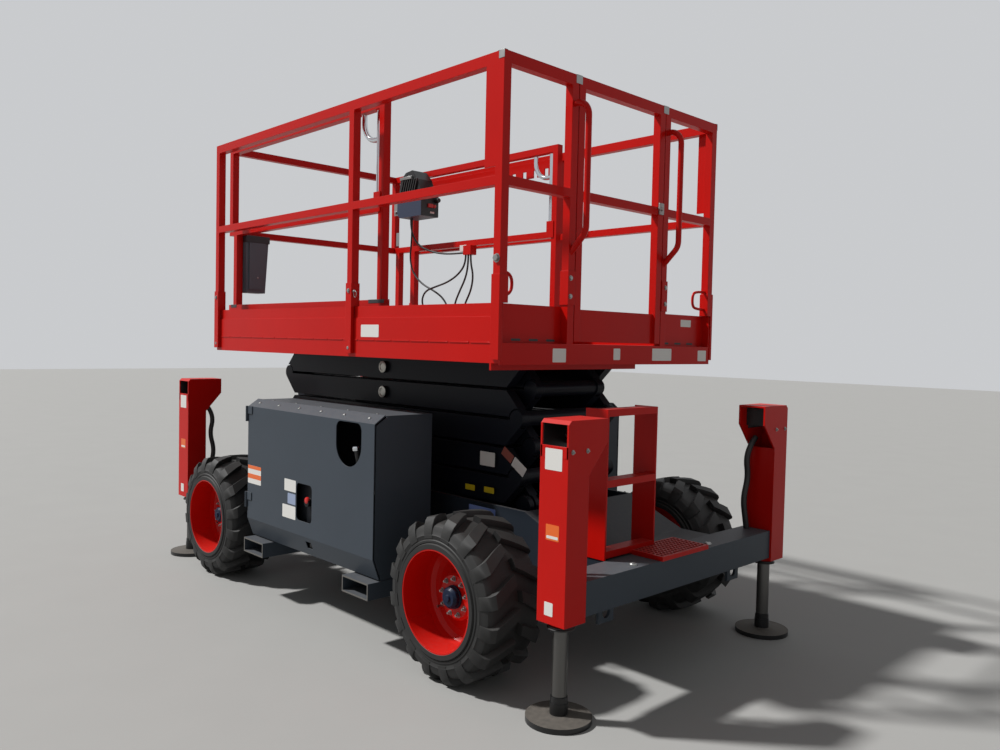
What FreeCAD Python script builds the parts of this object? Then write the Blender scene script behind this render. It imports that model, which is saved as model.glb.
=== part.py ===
import FreeCAD, Part
import math
import os
import re
import Sketcher
from FreeCAD import Placement, Rotation, Vector

# Self-propelled scissor lift for rough ground, in millimetres.
# X runs from the steered front end (negative) to the ladder and gate at the rear (positive).
# Y runs from the machine's left side (negative) to its right side, and Z is up.
# The origin is on the ground, midway between the axles.

SIZES = {
    # wheels: four deep dished rims with wide tyres
    "wheelbase": 2018,
    "wheel_centre": 712,
    "tyre_radius": 330,
    "tyre_width": 300,
    "tyre_bead": 203.3,
    "tyre_shoulder": 17,
    "tyre_belly": 262,
    "tyre_bulge": 3,
    "lug_height": 28,
    "lug_width": 60,
    "lug_taper": 42,
    "lug_lean": 66,
    "lug_start": 9,
    "rim_radius": 203,
    "rim_wall": 6,
    "rim_flange": 215,
    "rim_width": 304,
    "dish_inset": 8,
    "dish_wall": 10,
    "hub_radius": 95,
    "hub_depth": 56,
    "dish_curve": 22,
    "cap_radius": 42,
    "cap_height": 34,
    "seat_gap": 0.3,
    # axles, knuckles and steering
    "axle_beam": 100,
    "axle_reach": 490,
    "kingpin_place": 550,
    "kingpin_radius": 20,
    "ear_half": 45,
    "ear_thickness": 20,
    "knuckle_height": 140,
    "knuckle_radius": 40,
    "motor_radius": 65,
    "arm_swing": 140,
    "arm_rise": 36,
    "arm_plate": 14,
    "steer_tube": 32,
    "steer_tube_half": 180,
    "steer_rod_radius": 14,
    "steer_drop": 5,
    "eye_radius": 22,
    "pin_play": 0.5,
    # chassis tray and the beams across its ends
    "tray_half": 1450,
    "tray_inside": 352,
    "tray_wall": 18,
    "tray_floor": 400,
    "tray_plate": 12,
    "tray_top": 620,
    "tray_step": 1300,
    "ramp_rear": 1005,
    "ramp_front": 1140,
    "ramp_plate": 10,
    "beam_depth": 140,
    "beam_bottom": 372,
    "beam_top": 498,
    "lash_place": 450,
    "lash_half": 45,
    "lash_drop": 78,
    "lash_hole": 40,
    "lash_plate": 12,
    "lash_radius": 22,
    "cross_width": 60,
    "cross_place": 400,
    # outrigger columns and legs
    "column_start": 1467,
    "column_end": 1599,
    "column_inside": 656.5,
    "column_outside": 769,
    "column_bottom": 356,
    "column_wall": 8,
    "hood_top": 1077,
    "hood_inside": 560,
    "hood_edge": 990,
    "hood_slope": 880,
    "hood_mouth": 945,
    "hood_fold": 14,
    "collar_height": 26,
    "leg_radius": 28,
    "leg_ring": 37,
    "leg_ring_height": 12,
    "leg_top": 800,
    "pad_radius": 120,
    "pad_edge": 20,
    "pad_crown": 42,
    "pad_thickness": 26,
    "ball_radius": 33,
    "ball_height": 67,
    "nut_radius": 31,
    "nut_height": 89,
    # ladder and step at the rear
    "ladder_left": -374,
    "ladder_right": -50,
    "ladder_front": 1337,
    "ladder_rear": 1450,
    "ladder_top": 1090,
    "stile_wall": 8,
    "rung_depth": 60,
    "rung_height": 28,
    "rung_pitch": 278,
    "step_front": 1420,
    "step_rear": 1600,
    "step_left": -200,
    "step_right": 125,
    "step_height": 18,
    # fork pockets across the machine
    "pocket_place": 460,
    "pocket_width": 198,
    "pocket_bottom": 223,
    "pocket_top": 296,
    "pocket_wall": 7,
    "pocket_half": 859,
    # side cabinets and their doors
    "cabinet_front": -573,
    "cabinet_rear": 556,
    "cabinet_inside": 520,
    "cabinet_outside": 835,
    "cabinet_top": 1017,
    "shoulder_drop": 37,
    "ledge_inset": 55,
    "sill_rise": 98,
    "toe_inset": 34,
    "sheet": 4,
    "door_gap": 6,
    "window_front": -80,
    "window_rear": 60,
    "window_bottom": 465,
    "window_top": 645,
    "port_front": 260,
    "port_rear": 460,
    "port_bottom": 775,
    "port_top": 974,
    "port_round": 34,
    "window_round": 22,
    "latch_front": -5,
    "latch_rear": 45,
    "latch_low": 338,
    "latch_high": 372,
    "panel_depth": 60,
    "hinge_radius": 7,
    "hinge_ahead": 8,
    "hinge_proud": 4,
    "hinge_length": 40,
    "hinge_low": 450,
    "hinge_high": 900,
    "hinge_leaf": 45,
    # scissor stack: five levels of an outer and an inner pair of arms
    "stack_x": -85,
    "pin_half": 978,
    "pin_pitch": 130,
    "foot_height": 615,
    "arm_depth": 116,
    "arm_width": 50,
    "lane_gap": 35,
    "inner_lane": 185,
    "ear_radius": 40,
    "ear_play": 6,
    "cheek": 12,
    "cheek_play": 1,
    "pin_radius": 22,
    "cross_tube": 34,
    "centre_pin": 25,
    "centre_head": 31,
    "head_height": 14,
    "boss_radius": 38,
    "roller_radius": 44,
    "roller_start": 238,
    "roller_end": 266,
    "roller_play": 1,
    "roller_front": -360,
    "roller_rear": 960,
    # lift cylinders between the inner arms
    "barrel_reach": 1500,
    "rod_reach": 300,
    "barrel_radius": 50,
    "barrel_length": 1000,
    "barrel_eye": 56,
    "barrel_eye_half": 54,
    "rod_radius": 28,
    "rod_eye": 45,
    "rod_eye_half": 31,
    "lug_radius": 30,
    "lug_inside": 38,
    # platform
    "deck_half": 1197,
    "deck_outside": 729,
    "deck_plate": 15,
    "deck_under": 1325,
    "skirt_bottom": 1260,
    "skirt_top": 1440,
    "skirt_wall": 10,
    "skirt_inset": 12,
    "toe_top": 1492,
    "toe_wall": 5,
    "fascia_bottom": 1255,
    "rail_tube": 38,
    "rail_top": 2436,
    "top_tube": 45,
    "mid_top": 1973,
    "mid_tube": 36,
    "post_foot": 1275,
    "socket_half": 23,
    "socket_wall": 4,
    "socket_top": 1600,
    "socket_low": 1500,
    "socket_high": 1640,
    "sill_back": 50,
    "sill_drop": 22,
    "mid_post": 188,
    "plate_width": 60,
    "plate_bottom": 2007,
    "plate_wall": 8,
    # gate and grab handles
    "gate_half": 299,
    "gate_post": 304,
    "gate_hinge": 301.5,
    "gate_hinge_radius": 7,
    "gate_hinge_inset": 8,
    "gate_hinge_length": 40,
    "gate_hinge_low": 1665,
    "gate_hinge_high": 2200,
    "gate_leaf": 15,
    "kick_bottom": 1350,
    "kick_top": 1485,
    "grab_radius": 13,
    "grab_reach": 85,
    "grab_bottom": 1704,
    "grab_top": 2320,
    "grab_bend": 60,
    "grab_fall": 90,
    # latch rack under the right top rail
    "rack_front": -960,
    "rack_rear": 200,
    "rack_wall": 6,
    "rack_bottom": 2318,
    "rack_top": 2412,
    "notch_pitch": 90,
    "notch_width": 30,
    "notch_height": 44,
    # extension deck that rolls out over the front
    "ext_front": -1265,
    "ext_rear": 280,
    "ext_outside": 612,
    "ext_floor": 1352,
    "ext_plate": 12,
    "ext_toe_rear": 336,
    "ext_toe_top": 1528,
    "ext_rail_top": 2455,
    "ext_post": -1191,
    "box_post": -1021,
    "runner_width": 24,
    "handle_radius": 17,
    "handle_place": 225,
    "handle_bottom": 1985,
    "handle_top": 2410,
    "handle_elbow": 130,
    "handle_bend": 95,
    "hook_radius": 13,
    "hook_drop": 130,
    "clasp_height": 46,
    # boxes hung on the extension's rails
    "control_front": -1010,
    "control_rear": -760,
    "control_inside": 430,
    "control_bottom": 2140,
    "control_top": 2440,
    "control_step": 2280,
    "control_round": 26,
    "guard_inset": 12,
    "knob_radius": 17,
    "knob_reach": 30,
    "clip_front": -475,
    "clip_rear": -405,
    "clip_bottom": 1880,
    "cable_radius": 6,
    "manual_depth": 90,
    "manual_left": -573,
    "manual_right": -425,
    "manual_bottom": 1602,
    "manual_top": 1937,
    "manual_taper": 22,
    "cover_rise": 8,
    "cover_inset": 20,
}

LEVELS = 5
TYRE_SIDES = 32
TYRE_LUGS = 16
BORE_SLACK = 1.005

doc = FreeCAD.newDocument("scissor_lift")
sheet = doc.addObject("Spreadsheet::Sheet", "Sizes")
for row, (alias, value) in enumerate(SIZES.items(), start=1):
    sheet.set(f"A{row}", alias)
    sheet.set(f"B{row}", str(value))
    sheet.setAlias(f"B{row}", alias)
doc.recompute()

WORDS = re.compile(r"\b(" + "|".join(sorted(SIZES, key=len, reverse=True)) + r")\b")
TURNS = {
    "x": Rotation(Vector(0, 1, 0), 90),
    "y": Rotation(Vector(1, 0, 0), -90),
    "z": Rotation(),
}
PLANES = {
    "x": (Rotation(Vector(1, 1, 1), 120), Vector(1, 0, 0)),
    "y": (Rotation(Vector(1, 0, 0), 90), Vector(0, 1, 0)),
    "z": (Rotation(), Vector(0, 0, 1)),
}


def cell(text):
    """An expression whose size names point to the cells of the sheet."""
    return WORDS.sub(r"Sizes.\1", str(text))


def number(text):
    return float(sheet.evalExpression(cell(text)))


def bind(obj, prop, text):
    obj.setExpression(prop, cell(text))


def place(obj, base):
    for axis, text in zip("xyz", base):
        bind(obj, "Placement.Base." + axis, text)
    return obj


def span(side, low, high):
    """A stretch across the machine, from low to high on the side that is 1 or -1."""
    return (low, high) if side > 0 else (f"-({high})", f"-({low})")


def box(name, x, y, z):
    solid = doc.addObject("Part::Box", name)
    for prop, (low, high) in (("Length", x), ("Width", y), ("Height", z)):
        bind(solid, prop, f"({high}) - ({low})")
    return place(solid, (x[0], y[0], z[0]))


def rod(name, axis, centre, reach, radius):
    """A round bar along an axis: centre holds its other two coordinates, reach its two ends."""
    solid = doc.addObject("Part::Cylinder", name)
    solid.Placement = Placement(Vector(), TURNS[axis])
    bind(solid, "Radius", radius)
    bind(solid, "Height", f"({reach[1]}) - ({reach[0]})")
    base = list(centre)
    base.insert("xyz".index(axis), reach[0])
    return place(solid, base)


def outline(sketch, points):
    """Draws a closed outline and ties each corner to the sheet."""
    places = [(number(x), number(y)) for x, y in points]
    for index, start in enumerate(places):
        end = places[(index + 1) % len(places)]
        sketch.addGeometry(Part.LineSegment(Vector(*start, 0), Vector(*end, 0)), False)
    for index, (point, value) in enumerate(zip(points, places)):
        follower = (index + 1) % len(places)
        sketch.addConstraint(Sketcher.Constraint("Coincident", index, 2, follower, 1))
        for kind, text, size in zip(("DistanceX", "DistanceY"), point, value):
            tie = sketch.addConstraint(Sketcher.Constraint(kind, -1, 1, index, 1, size))
            bind(sketch, f"Constraints[{tie}]", text)


def prism(name, axis, reach, points):
    """A flat outline drawn across an axis and drawn out between two places along it."""
    sketch = doc.addObject("Sketcher::SketchObject", name + "_sketch")
    turn, direction = PLANES[axis]
    sketch.Placement = Placement(Vector(), turn)
    outline(sketch, points)
    bind(sketch, "Placement.Base." + axis, reach[0])
    solid = doc.addObject("Part::Extrusion", name)
    solid.Base = sketch
    solid.DirMode = "Custom"
    solid.Dir = direction
    solid.Solid = True
    bind(solid, "LengthFwd", f"({reach[1]}) - ({reach[0]})")
    return solid


def fuse(name, parts):
    if len(parts) == 1:
        parts[0].Label = name
        return parts[0]
    joined = doc.addObject("Part::MultiFuse", name)
    joined.Shapes = parts
    joined.Refine = True
    joined.Label = name
    return joined


def cut(name, base, tools):
    tool = fuse(name + "_tools", tools)
    result = doc.addObject("Part::Cut", name)
    result.Base = base
    result.Tool = tool
    result.Refine = True
    result.Label = name
    return result


def group(name, parts):
    """Solids that stand apart but share a name and a material."""
    whole = doc.addObject("Part::Compound", name)
    whole.Links = parts
    whole.Label = name
    return whole


def turned(name, points, side, centre):
    """A wheel part: an outline of radius and distance outboard, turned about the wheel's axis."""
    body = doc.addObject("PartDesign::Body", name)
    sketch = body.newObject("Sketcher::SketchObject", name + "_sketch")
    plane = next(item for item in body.Origin.OriginFeatures if item.Role == "XY_Plane")
    sketch.AttachmentSupport = [(plane, "")]
    sketch.MapMode = "FlatFace"
    outline(sketch, points)
    turn = body.newObject("PartDesign::Revolution", name + "_turn")
    turn.Profile = sketch
    turn.ReferenceAxis = (sketch, ["V_Axis"])
    turn.Angle = 360
    body.Tip = turn
    body.Placement = Placement(Vector(), Rotation(Vector(0, 0, 1), 0 if side > 0 else 180))
    body.Label = name
    return place(body, centre)


def kept(name, shape):
    """A shape worked out from the named sizes, as an object of the document."""
    feature = doc.addObject("Part::Feature", name)
    feature.Shape = shape
    feature.Label = name
    return feature


def tube(name, points, radius, bend=None):
    """A round bar bent along straight runs, each corner with the bend given or the largest that fits."""
    corners = [Vector(*(number(text) for text in point)) for point in points]
    edges, start, radii = [], corners[0], []
    for before, corner, after in zip(corners, corners[1:], corners[2:]):
        into, out = (corner - before).normalize(), (after - corner).normalize()
        half_turn = into.getAngle(out) / 2
        if bend:
            reach = number(bend) * math.tan(half_turn)
        else:
            reach = 0.45 * min((corner - before).Length, (after - corner).Length)
        radii.append(reach / math.tan(half_turn))
        first, last = corner - into * reach, corner + out * reach
        inward = (out - into).normalize()
        middle = corner + inward * radii[-1] * (1 / math.cos(half_turn) - 1)
        edges += [Part.LineSegment(start, first).toShape(), Part.Arc(first, middle, last).toShape()]
        start = last
    edges.append(Part.LineSegment(start, corners[-1]).toShape())
    path = Part.Wire(edges)
    ring = Part.Wire([Part.makeCircle(number(radius), corners[0], corners[1] - corners[0])])
    solid = path.makePipeShell([ring], True, False)
    expected = math.pi * number(radius) ** 2 * path.Length
    if abs(solid.Volume / expected - 1) > 0.01:
        raise SystemExit(f"{name}: the bent bar's volume is off")
    if not bend:
        print(name, "length", round(path.Length), "radii", sorted(round(value) for value in radii))
    return kept(name, solid)


def rounded_hole(name, x, y, z, radius):
    """Tools for a hole across the machine, with four round corners."""
    near, far = f"{x[0]} + {radius}", f"{x[1]} - {radius}"
    low, high = f"{z[0]} + {radius}", f"{z[1]} - {radius}"
    tools = [box(name + "_wide", x, y, (low, high)), box(name + "_tall", (near, far), y, z)]
    for corner, place_xz in enumerate([(near, low), (near, high), (far, low), (far, high)]):
        tools.append(rod(f"{name}_corner_{corner}", "y", place_xz, y, radius))
    return tools


def cone(name, centre, reach, radii):
    """An upright tapered disc: its centre, its lower and upper heights and their radii."""
    solid = doc.addObject("Part::Cone", name)
    bind(solid, "Radius1", radii[0])
    bind(solid, "Radius2", radii[1])
    bind(solid, "Height", f"({reach[1]}) - ({reach[0]})")
    return place(solid, (centre[0], centre[1], reach[0]))


CORNERS = [("front", -1), ("rear", 1)]
SIDES = [("left", -1), ("right", 1)]


def rim(name, end, side):
    half = "rim_width / 2"
    barrel = "rim_radius - rim_wall"
    face = "-dish_inset"
    return turned(name, [
        ("rim_flange", f"-{half}"),
        ("rim_flange", f"rim_wall - {half}"),
        ("rim_radius", f"rim_wall - {half}"),
        ("rim_radius", f"{half} - rim_wall"),
        ("rim_flange", f"{half} - rim_wall"),
        ("rim_flange", half),
        (barrel, half),
        (barrel, f"{face} + 2 * dish_curve"),
        (f"{barrel} - 0.3 * dish_curve", f"{face} + dish_curve"),
        (f"{barrel} - dish_curve", f"{face} + 0.3 * dish_curve"),
        (f"{barrel} - 2 * dish_curve", face),
        ("hub_radius", face),
        ("hub_radius", f"{face} + hub_depth - cap_radius / 4"),
        ("hub_radius - cap_radius / 4", f"{face} + hub_depth"),
        ("cap_radius", f"{face} + hub_depth"),
        ("cap_radius", f"{face} + hub_depth + cap_height - cap_radius / 4"),
        ("0.75 * cap_radius", f"{face} + hub_depth + cap_height"),
        ("0 * hub_radius", f"{face} + hub_depth + cap_height"),
        ("0 * hub_radius", f"{face} - dish_wall"),
        (barrel, f"{face} - dish_wall"),
        (barrel, f"-{half}"),
    ], side, (f"{end} * wheelbase / 2", f"{side} * wheel_centre", "tyre_radius"))


def lug(start, row):
    """One slanted tread bar, from near the middle out over the shoulder, as a closed solid of flat faces."""
    outer, half = number("tyre_radius"), number("tyre_width / 2")
    near, far = number("lug_start"), half - number("tyre_shoulder") * 1.6
    lean = number("lug_lean") / outer
    narrow, wide = number("lug_taper / 2") / outer, number("lug_width / 2") / outer
    stations = [
        # radius, distance from the tyre's middle, turn, half the bar's angle
        (outer, near, lean, narrow),
        (outer, far, 0, wide),
        (number("tyre_belly"), half - 1, 0, wide),
        (number("tyre_belly"), near, lean, narrow),
    ]
    flanks = []
    for sign in (-1, 1):
        angles = [start + turn + sign * spread for _, _, turn, spread in stations]
        flanks.append([Vector(radius * math.cos(angle), row * along, radius * math.sin(angle))
                       for (radius, along, _, _), angle in zip(stations, angles)])
    low, high = flanks
    loops = [(low[0], high[0], high[1]), (low[0], high[1], low[1]), (low[1], high[1], high[2], low[2]),
             (low[2], high[2], high[3]), (low[2], high[3], low[3]), (low[3], high[3], high[0], low[0])]
    for top, edge, foot, root in flanks:
        loops += [(top, edge, foot), (top, foot, root)]
    solid = Part.makeSolid(Part.makeShell([Part.Face(Part.makePolygon([*loop, loop[0]])) for loop in loops]))
    if solid.Volume < 0:
        solid.reverse()
    return solid


def tyre(name, end, side):
    """A flat-sided casing with two staggered rows of slanted bars that run over its shoulders."""
    half = number("tyre_width / 2")
    bead = number("rim_width / 2 - rim_wall - seat_gap")
    profile = [
        # radius, distance from the tyre's middle
        (number("tyre_bead") * BORE_SLACK, bead - number("rim_flange / 8")),
        (number("rim_flange + 3"), bead),
        (number("tyre_belly"), half - number("tyre_bulge")),
        (number("tyre_radius - lug_height"), half - 1.7 * number("tyre_shoulder")),
    ]
    profile += [(radius, -along) for radius, along in reversed(profile)]
    step = 2 * math.pi / TYRE_SIDES
    rings = [[Vector(radius * math.cos(step * turn), along, radius * math.sin(step * turn))
              for turn in range(TYRE_SIDES + 1)] for radius, along in profile]
    faces = []
    for ring, following in zip(rings, [*rings[1:], rings[0]]):
        for turn in range(TYRE_SIDES):
            loop = [ring[turn], ring[turn + 1], following[turn + 1], following[turn]]
            faces.append(Part.Face(Part.makePolygon([*loop, loop[0]])))
    casing = Part.makeSolid(Part.makeShell(faces))
    if casing.Volume < 0:
        casing.reverse()
    pitch = 2 * math.pi / TYRE_LUGS
    bars = []
    for row in (-1, 1):
        for index in range(TYRE_LUGS):
            start = (index + (row * side + 1) / 4) * pitch - math.pi / 2
            bars.append(lug(start, row))
    parts = [kept(name + "_casing", casing), kept(name + "_tread", Part.makeCompound(bars))]
    return place(fuse(name, parts), (f"{end} * wheelbase / 2", f"{side} * wheel_centre", "tyre_radius"))


LANES = {"outer": "inner_lane + arm_width + lane_gap", "inner": "inner_lane"}


def chassis_frame():
    outside = "tray_inside + tray_wall"
    parts = [
        box("tray_floor_plate", ("-tray_half", "tray_half"), (f"-({outside})", outside),
            ("tray_floor", "tray_floor + tray_plate")),
    ]
    for label, side in SIDES:
        parts.append(prism(f"tray_wall_{label}", "y", span(side, "tray_inside", outside), [
            ("-tray_step", "tray_floor"), ("tray_step", "tray_floor"), ("tray_step", "beam_top"),
            ("ramp_rear", "tray_top"), ("-ramp_front", "tray_top"), ("-tray_step", "beam_top")]))
        parts.append(box(f"roller_track_{label}", ("roller_front", "roller_rear"),
                         span(side, "roller_start - 2", "roller_end + 2"),
                         ("tray_floor", "foot_height - roller_radius - roller_play")))
        for end_label, end in CORNERS:
            across = ("cross_place - cross_width / 2", "cross_place + cross_width / 2")
            along = across if end > 0 else tuple(f"-({text})" for text in reversed(across))
            parts.append(box(f"cabinet_bracket_{label}_{end_label}", along,
                             span(side, outside, "cabinet_inside"),
                             ("tray_floor", "tray_floor + cross_width")))
        foot = "stack_x - pin_half"
        outer = LANES["outer"]
        parts.append(rod(f"foot_pin_{label}", "y", (foot, "foot_height"),
                         span(side, outer, f"{outer} + arm_width"), "pin_radius"))
        for name, start in (("inner", outer), ("outer", f"{outer} + arm_width - cheek")):
            reach = span(side, start, f"{start} + cheek")
            parts.append(box(f"foot_{label}_{name}", (f"{foot} - ear_radius", f"{foot} + ear_radius"),
                             reach, ("tray_floor", "foot_height")))
            parts.append(rod(f"foot_ear_{label}_{name}", "y", (foot, "foot_height"), reach, "ear_radius"))
    ramps = (("front", "-ramp_front", "-tray_step"), ("rear", "ramp_rear", "tray_step"))
    for end_label, start, finish in ramps:
        parts.append(prism(f"tray_ramp_{end_label}", "y", ("-tray_inside", "tray_inside"), [
            (start, "tray_top"), (finish, "beam_top"), (finish, "beam_top - ramp_plate"),
            (start, "tray_top - ramp_plate")]))
    for end_label, end in CORNERS:
        along = ("tray_step", "tray_half") if end > 0 else ("-tray_half", "-tray_step")
        parts.append(box(f"end_deck_{end_label}", along, (f"-({outside})", outside),
                         ("tray_floor", "beam_top")))
    return fuse("chassis_frame", parts)


def outrigger_beams():
    """The box beam across each end, with two lashing eyes under it."""
    beams = []
    middle = "tray_half + beam_depth / 2"
    for label, end in CORNERS:
        parts = [box(f"beam_{label}", along_end(end, "tray_half", "tray_half + beam_depth"),
                     ("-column_inside", "column_inside"), ("beam_bottom", "beam_top"))]
        holes = []
        plate = along_end(end, f"{middle} - lash_plate / 2", f"{middle} + lash_plate / 2")
        for name, side in SIDES:
            parts.append(box(f"lash_{label}_{name}", plate, span(side, "lash_place - lash_half",
                             "lash_place + lash_half"), ("beam_bottom - lash_drop", "beam_bottom")))
            eye = (f"{side} * lash_place", "beam_bottom - lash_hole")
            holes.append(rod(f"lash_hole_{label}_{name}", "x", eye,
                             (f"{plate[0]} - lash_plate", f"{plate[1]} + lash_plate"), "lash_radius"))
        beams.append(cut(f"beam_eyed_{label}", fuse(f"beam_whole_{label}", parts), holes))
    return group("outrigger_beams", beams)


def along_end(end, low, high):
    """A stretch along the machine, mirrored for the front end."""
    return (low, high) if end > 0 else (f"-({high})", f"-({low})")


def housing(label, end, side):
    """A folded column whose hood reaches inboard over it: open under the hood, with a collar for the leg."""
    outer = [("column_outside", "column_bottom"), ("column_outside", "hood_top - hood_fold"),
             ("column_outside - hood_fold", "hood_top"), ("hood_inside", "hood_top"),
             ("hood_inside", "hood_edge"), ("column_inside", "hood_slope"), ("column_inside", "column_bottom")]
    face, floor, roof = "column_outside - column_wall", "column_bottom + collar_height", "hood_top - column_wall"
    hollow = [(face, floor), (face, "hood_top - hood_fold"), ("column_outside - hood_fold", roof),
              ("hood_inside - column_wall", roof), ("hood_inside - column_wall", "hood_slope"),
              ("column_inside + column_wall", "hood_slope"), ("column_inside + column_wall", floor)]
    x = along_end(end, "column_start", "column_end")
    inside = (f"{x[0]} + column_wall", f"{x[1]} - column_wall")
    leg = (f"{end} * (column_start + column_end) / 2", f"{side} * (column_inside + column_outside) / 2")
    shell = prism(f"housing_block_{label}", "x", x, [(f"{side} * ({y})", z) for y, z in outer])
    tools = [
        prism(f"housing_hollow_{label}", "x", inside, [(f"{side} * ({y})", z) for y, z in hollow]),
        box(f"hood_mouth_{label}", inside, span(side, f"{face} - column_wall", "column_outside + column_wall"),
            ("hood_mouth", "hood_top - hood_fold")),
        rod(f"collar_bore_{label}", "z", leg,
            ("column_bottom - collar_height", "column_bottom + 2 * collar_height"), "leg_radius + pin_play"),
    ]
    ring = rod(f"collar_ring_{label}", "z", leg, ("column_bottom - leg_ring_height", "column_bottom"), "leg_ring")
    return cut(f"housing_{label}", fuse(f"housing_whole_{label}", [shell, ring]), tools)


def outrigger_housings():
    return group("outrigger_housings", [housing(f"{a}_{b}", end, side)
                                        for a, end in CORNERS for b, side in SIDES])


def outrigger_leg(name, end, side):
    """A low foot pad, its ball and nut, and the leg that slides in the column."""
    centre = (f"{end} * (column_start + column_end) / 2", f"{side} * (column_inside + column_outside) / 2")
    parts = [
        rod(name + "_rim", "z", centre, ("0 * pad_edge", "pad_edge"), "pad_radius"),
        cone(name + "_pad", centre, ("pad_edge", "pad_thickness"), ("pad_radius - pad_edge / 2", "pad_crown")),
        rod(name + "_ball", "z", centre, ("pad_thickness", "ball_height"), "ball_radius"),
        rod(name + "_nut", "z", centre, ("ball_height", "nut_height"), "nut_radius"),
        rod(name + "_tube", "z", centre, ("nut_height", "leg_top"), "leg_radius"),
    ]
    return fuse(name, parts)


def ladder():
    x = ("ladder_front", "ladder_rear")
    parts = [
        box("stile_left", x, ("ladder_left", "ladder_left + stile_wall"), ("beam_top", "ladder_top")),
        box("stile_right", x, ("ladder_right - stile_wall", "ladder_right"), ("beam_top", "ladder_top")),
    ]
    for index in range(3):
        top = f"ladder_top - {index} * rung_pitch"
        parts.append(box(f"rung_{index}", ("ladder_rear - rung_depth", "ladder_rear"),
                         ("ladder_left", "ladder_right"), (f"{top} - rung_height", top)))
    step = box("step_plate", ("step_front", "step_rear"), ("step_left", "step_right"),
               ("beam_top", "beam_top + step_height"))
    return group("ladder", [fuse("ladder_frame", parts), step])


def fork_pockets():
    tubes = []
    for label, end in CORNERS:
        x = (f"{end} * pocket_place - pocket_width / 2", f"{end} * pocket_place + pocket_width / 2")
        y = ("-pocket_half", "pocket_half")
        shell = box(f"pocket_shell_{label}", x, y, ("pocket_bottom", "pocket_top"))
        hole = box(f"pocket_hole_{label}", (f"{x[0]} + pocket_wall", f"{x[1]} - pocket_wall"),
                   ("-pocket_half - pocket_wall", "pocket_half + pocket_wall"),
                   ("pocket_bottom + pocket_wall", "pocket_top - pocket_wall"))
        tube = cut(f"pocket_tube_{label}", shell, [hole])
        hangers = [box(f"hanger_{label}_{name}", (f"{x[0]} + cross_width", f"{x[1]} - cross_width"),
                       span(side, "tray_inside - cross_width", "tray_inside"),
                       ("pocket_top - pocket_wall / 2", "tray_floor")) for name, side in SIDES]
        tubes.append(fuse(f"pocket_{label}", [tube] + hangers))
    return group("fork_pockets", tubes)


def hinge_axis(side):
    """The upright line that a cabinet's door turns on, ahead of its front edge."""
    return ("cabinet_front - hinge_ahead", f"{side} * (cabinet_outside + hinge_proud)")


HINGES = ["hinge_low", "hinge_high"]


def cabinet(label, side):
    """The fixed shell of a side cabinet: floor, back, top and two end plates."""
    wall = "cabinet_outside - door_gap - sheet"
    eave = "cabinet_outside - ledge_inset - door_gap - sheet"
    foot = "cabinet_outside - toe_inset - door_gap - 2 * sheet"
    ends = [("cabinet_inside", "pocket_top"), (foot, "pocket_top"), (wall, "pocket_top + sill_rise"),
            (wall, "cabinet_top - shoulder_drop - 2 * sheet"), (eave, "cabinet_top - door_gap - sheet"),
            (eave, "cabinet_top - sheet"), ("cabinet_inside", "cabinet_top - sheet")]
    ends = [(f"{side} * ({y})", z) for y, z in ends]
    x = ("cabinet_front", "cabinet_rear")
    parts = [
        prism(f"cabinet_end_front_{label}", "x", (x[0], f"{x[0]} + sheet"), ends),
        prism(f"cabinet_end_rear_{label}", "x", (f"{x[1]} - sheet", x[1]), ends),
        box(f"cabinet_floor_{label}", x, span(side, "cabinet_inside", foot),
            ("pocket_top", "pocket_top + sheet")),
        box(f"cabinet_back_{label}", x, span(side, "cabinet_inside", "cabinet_inside + sheet"),
            ("pocket_top", "cabinet_top - sheet")),
        box(f"cabinet_roof_{label}", x, span(side, "cabinet_inside", eave),
            ("cabinet_top - 2 * sheet", "cabinet_top - sheet")),
    ]
    axis_x, axis_y = hinge_axis(side)
    strap = (f"{axis_x} - hinge_radius / 2", f"{axis_x} + hinge_radius / 2")
    for height in HINGES:
        z = (height, f"{height} + hinge_length")
        parts.append(rod(f"{height}_knuckle_{label}", "z", (axis_x, axis_y), z, "hinge_radius"))
        parts.append(box(f"{height}_strap_{label}", strap,
                         span(side, f"{wall} - hinge_leaf", "cabinet_outside + hinge_proud"), z))
        parts.append(box(f"{height}_seat_{label}", (strap[0], x[0]),
                         span(side, f"{wall} - hinge_leaf", wall), z))
    return fuse(f"cabinet_{label}", parts)


def cabinets():
    return group("cabinets", [cabinet(label, side) for label, side in SIDES])


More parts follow.
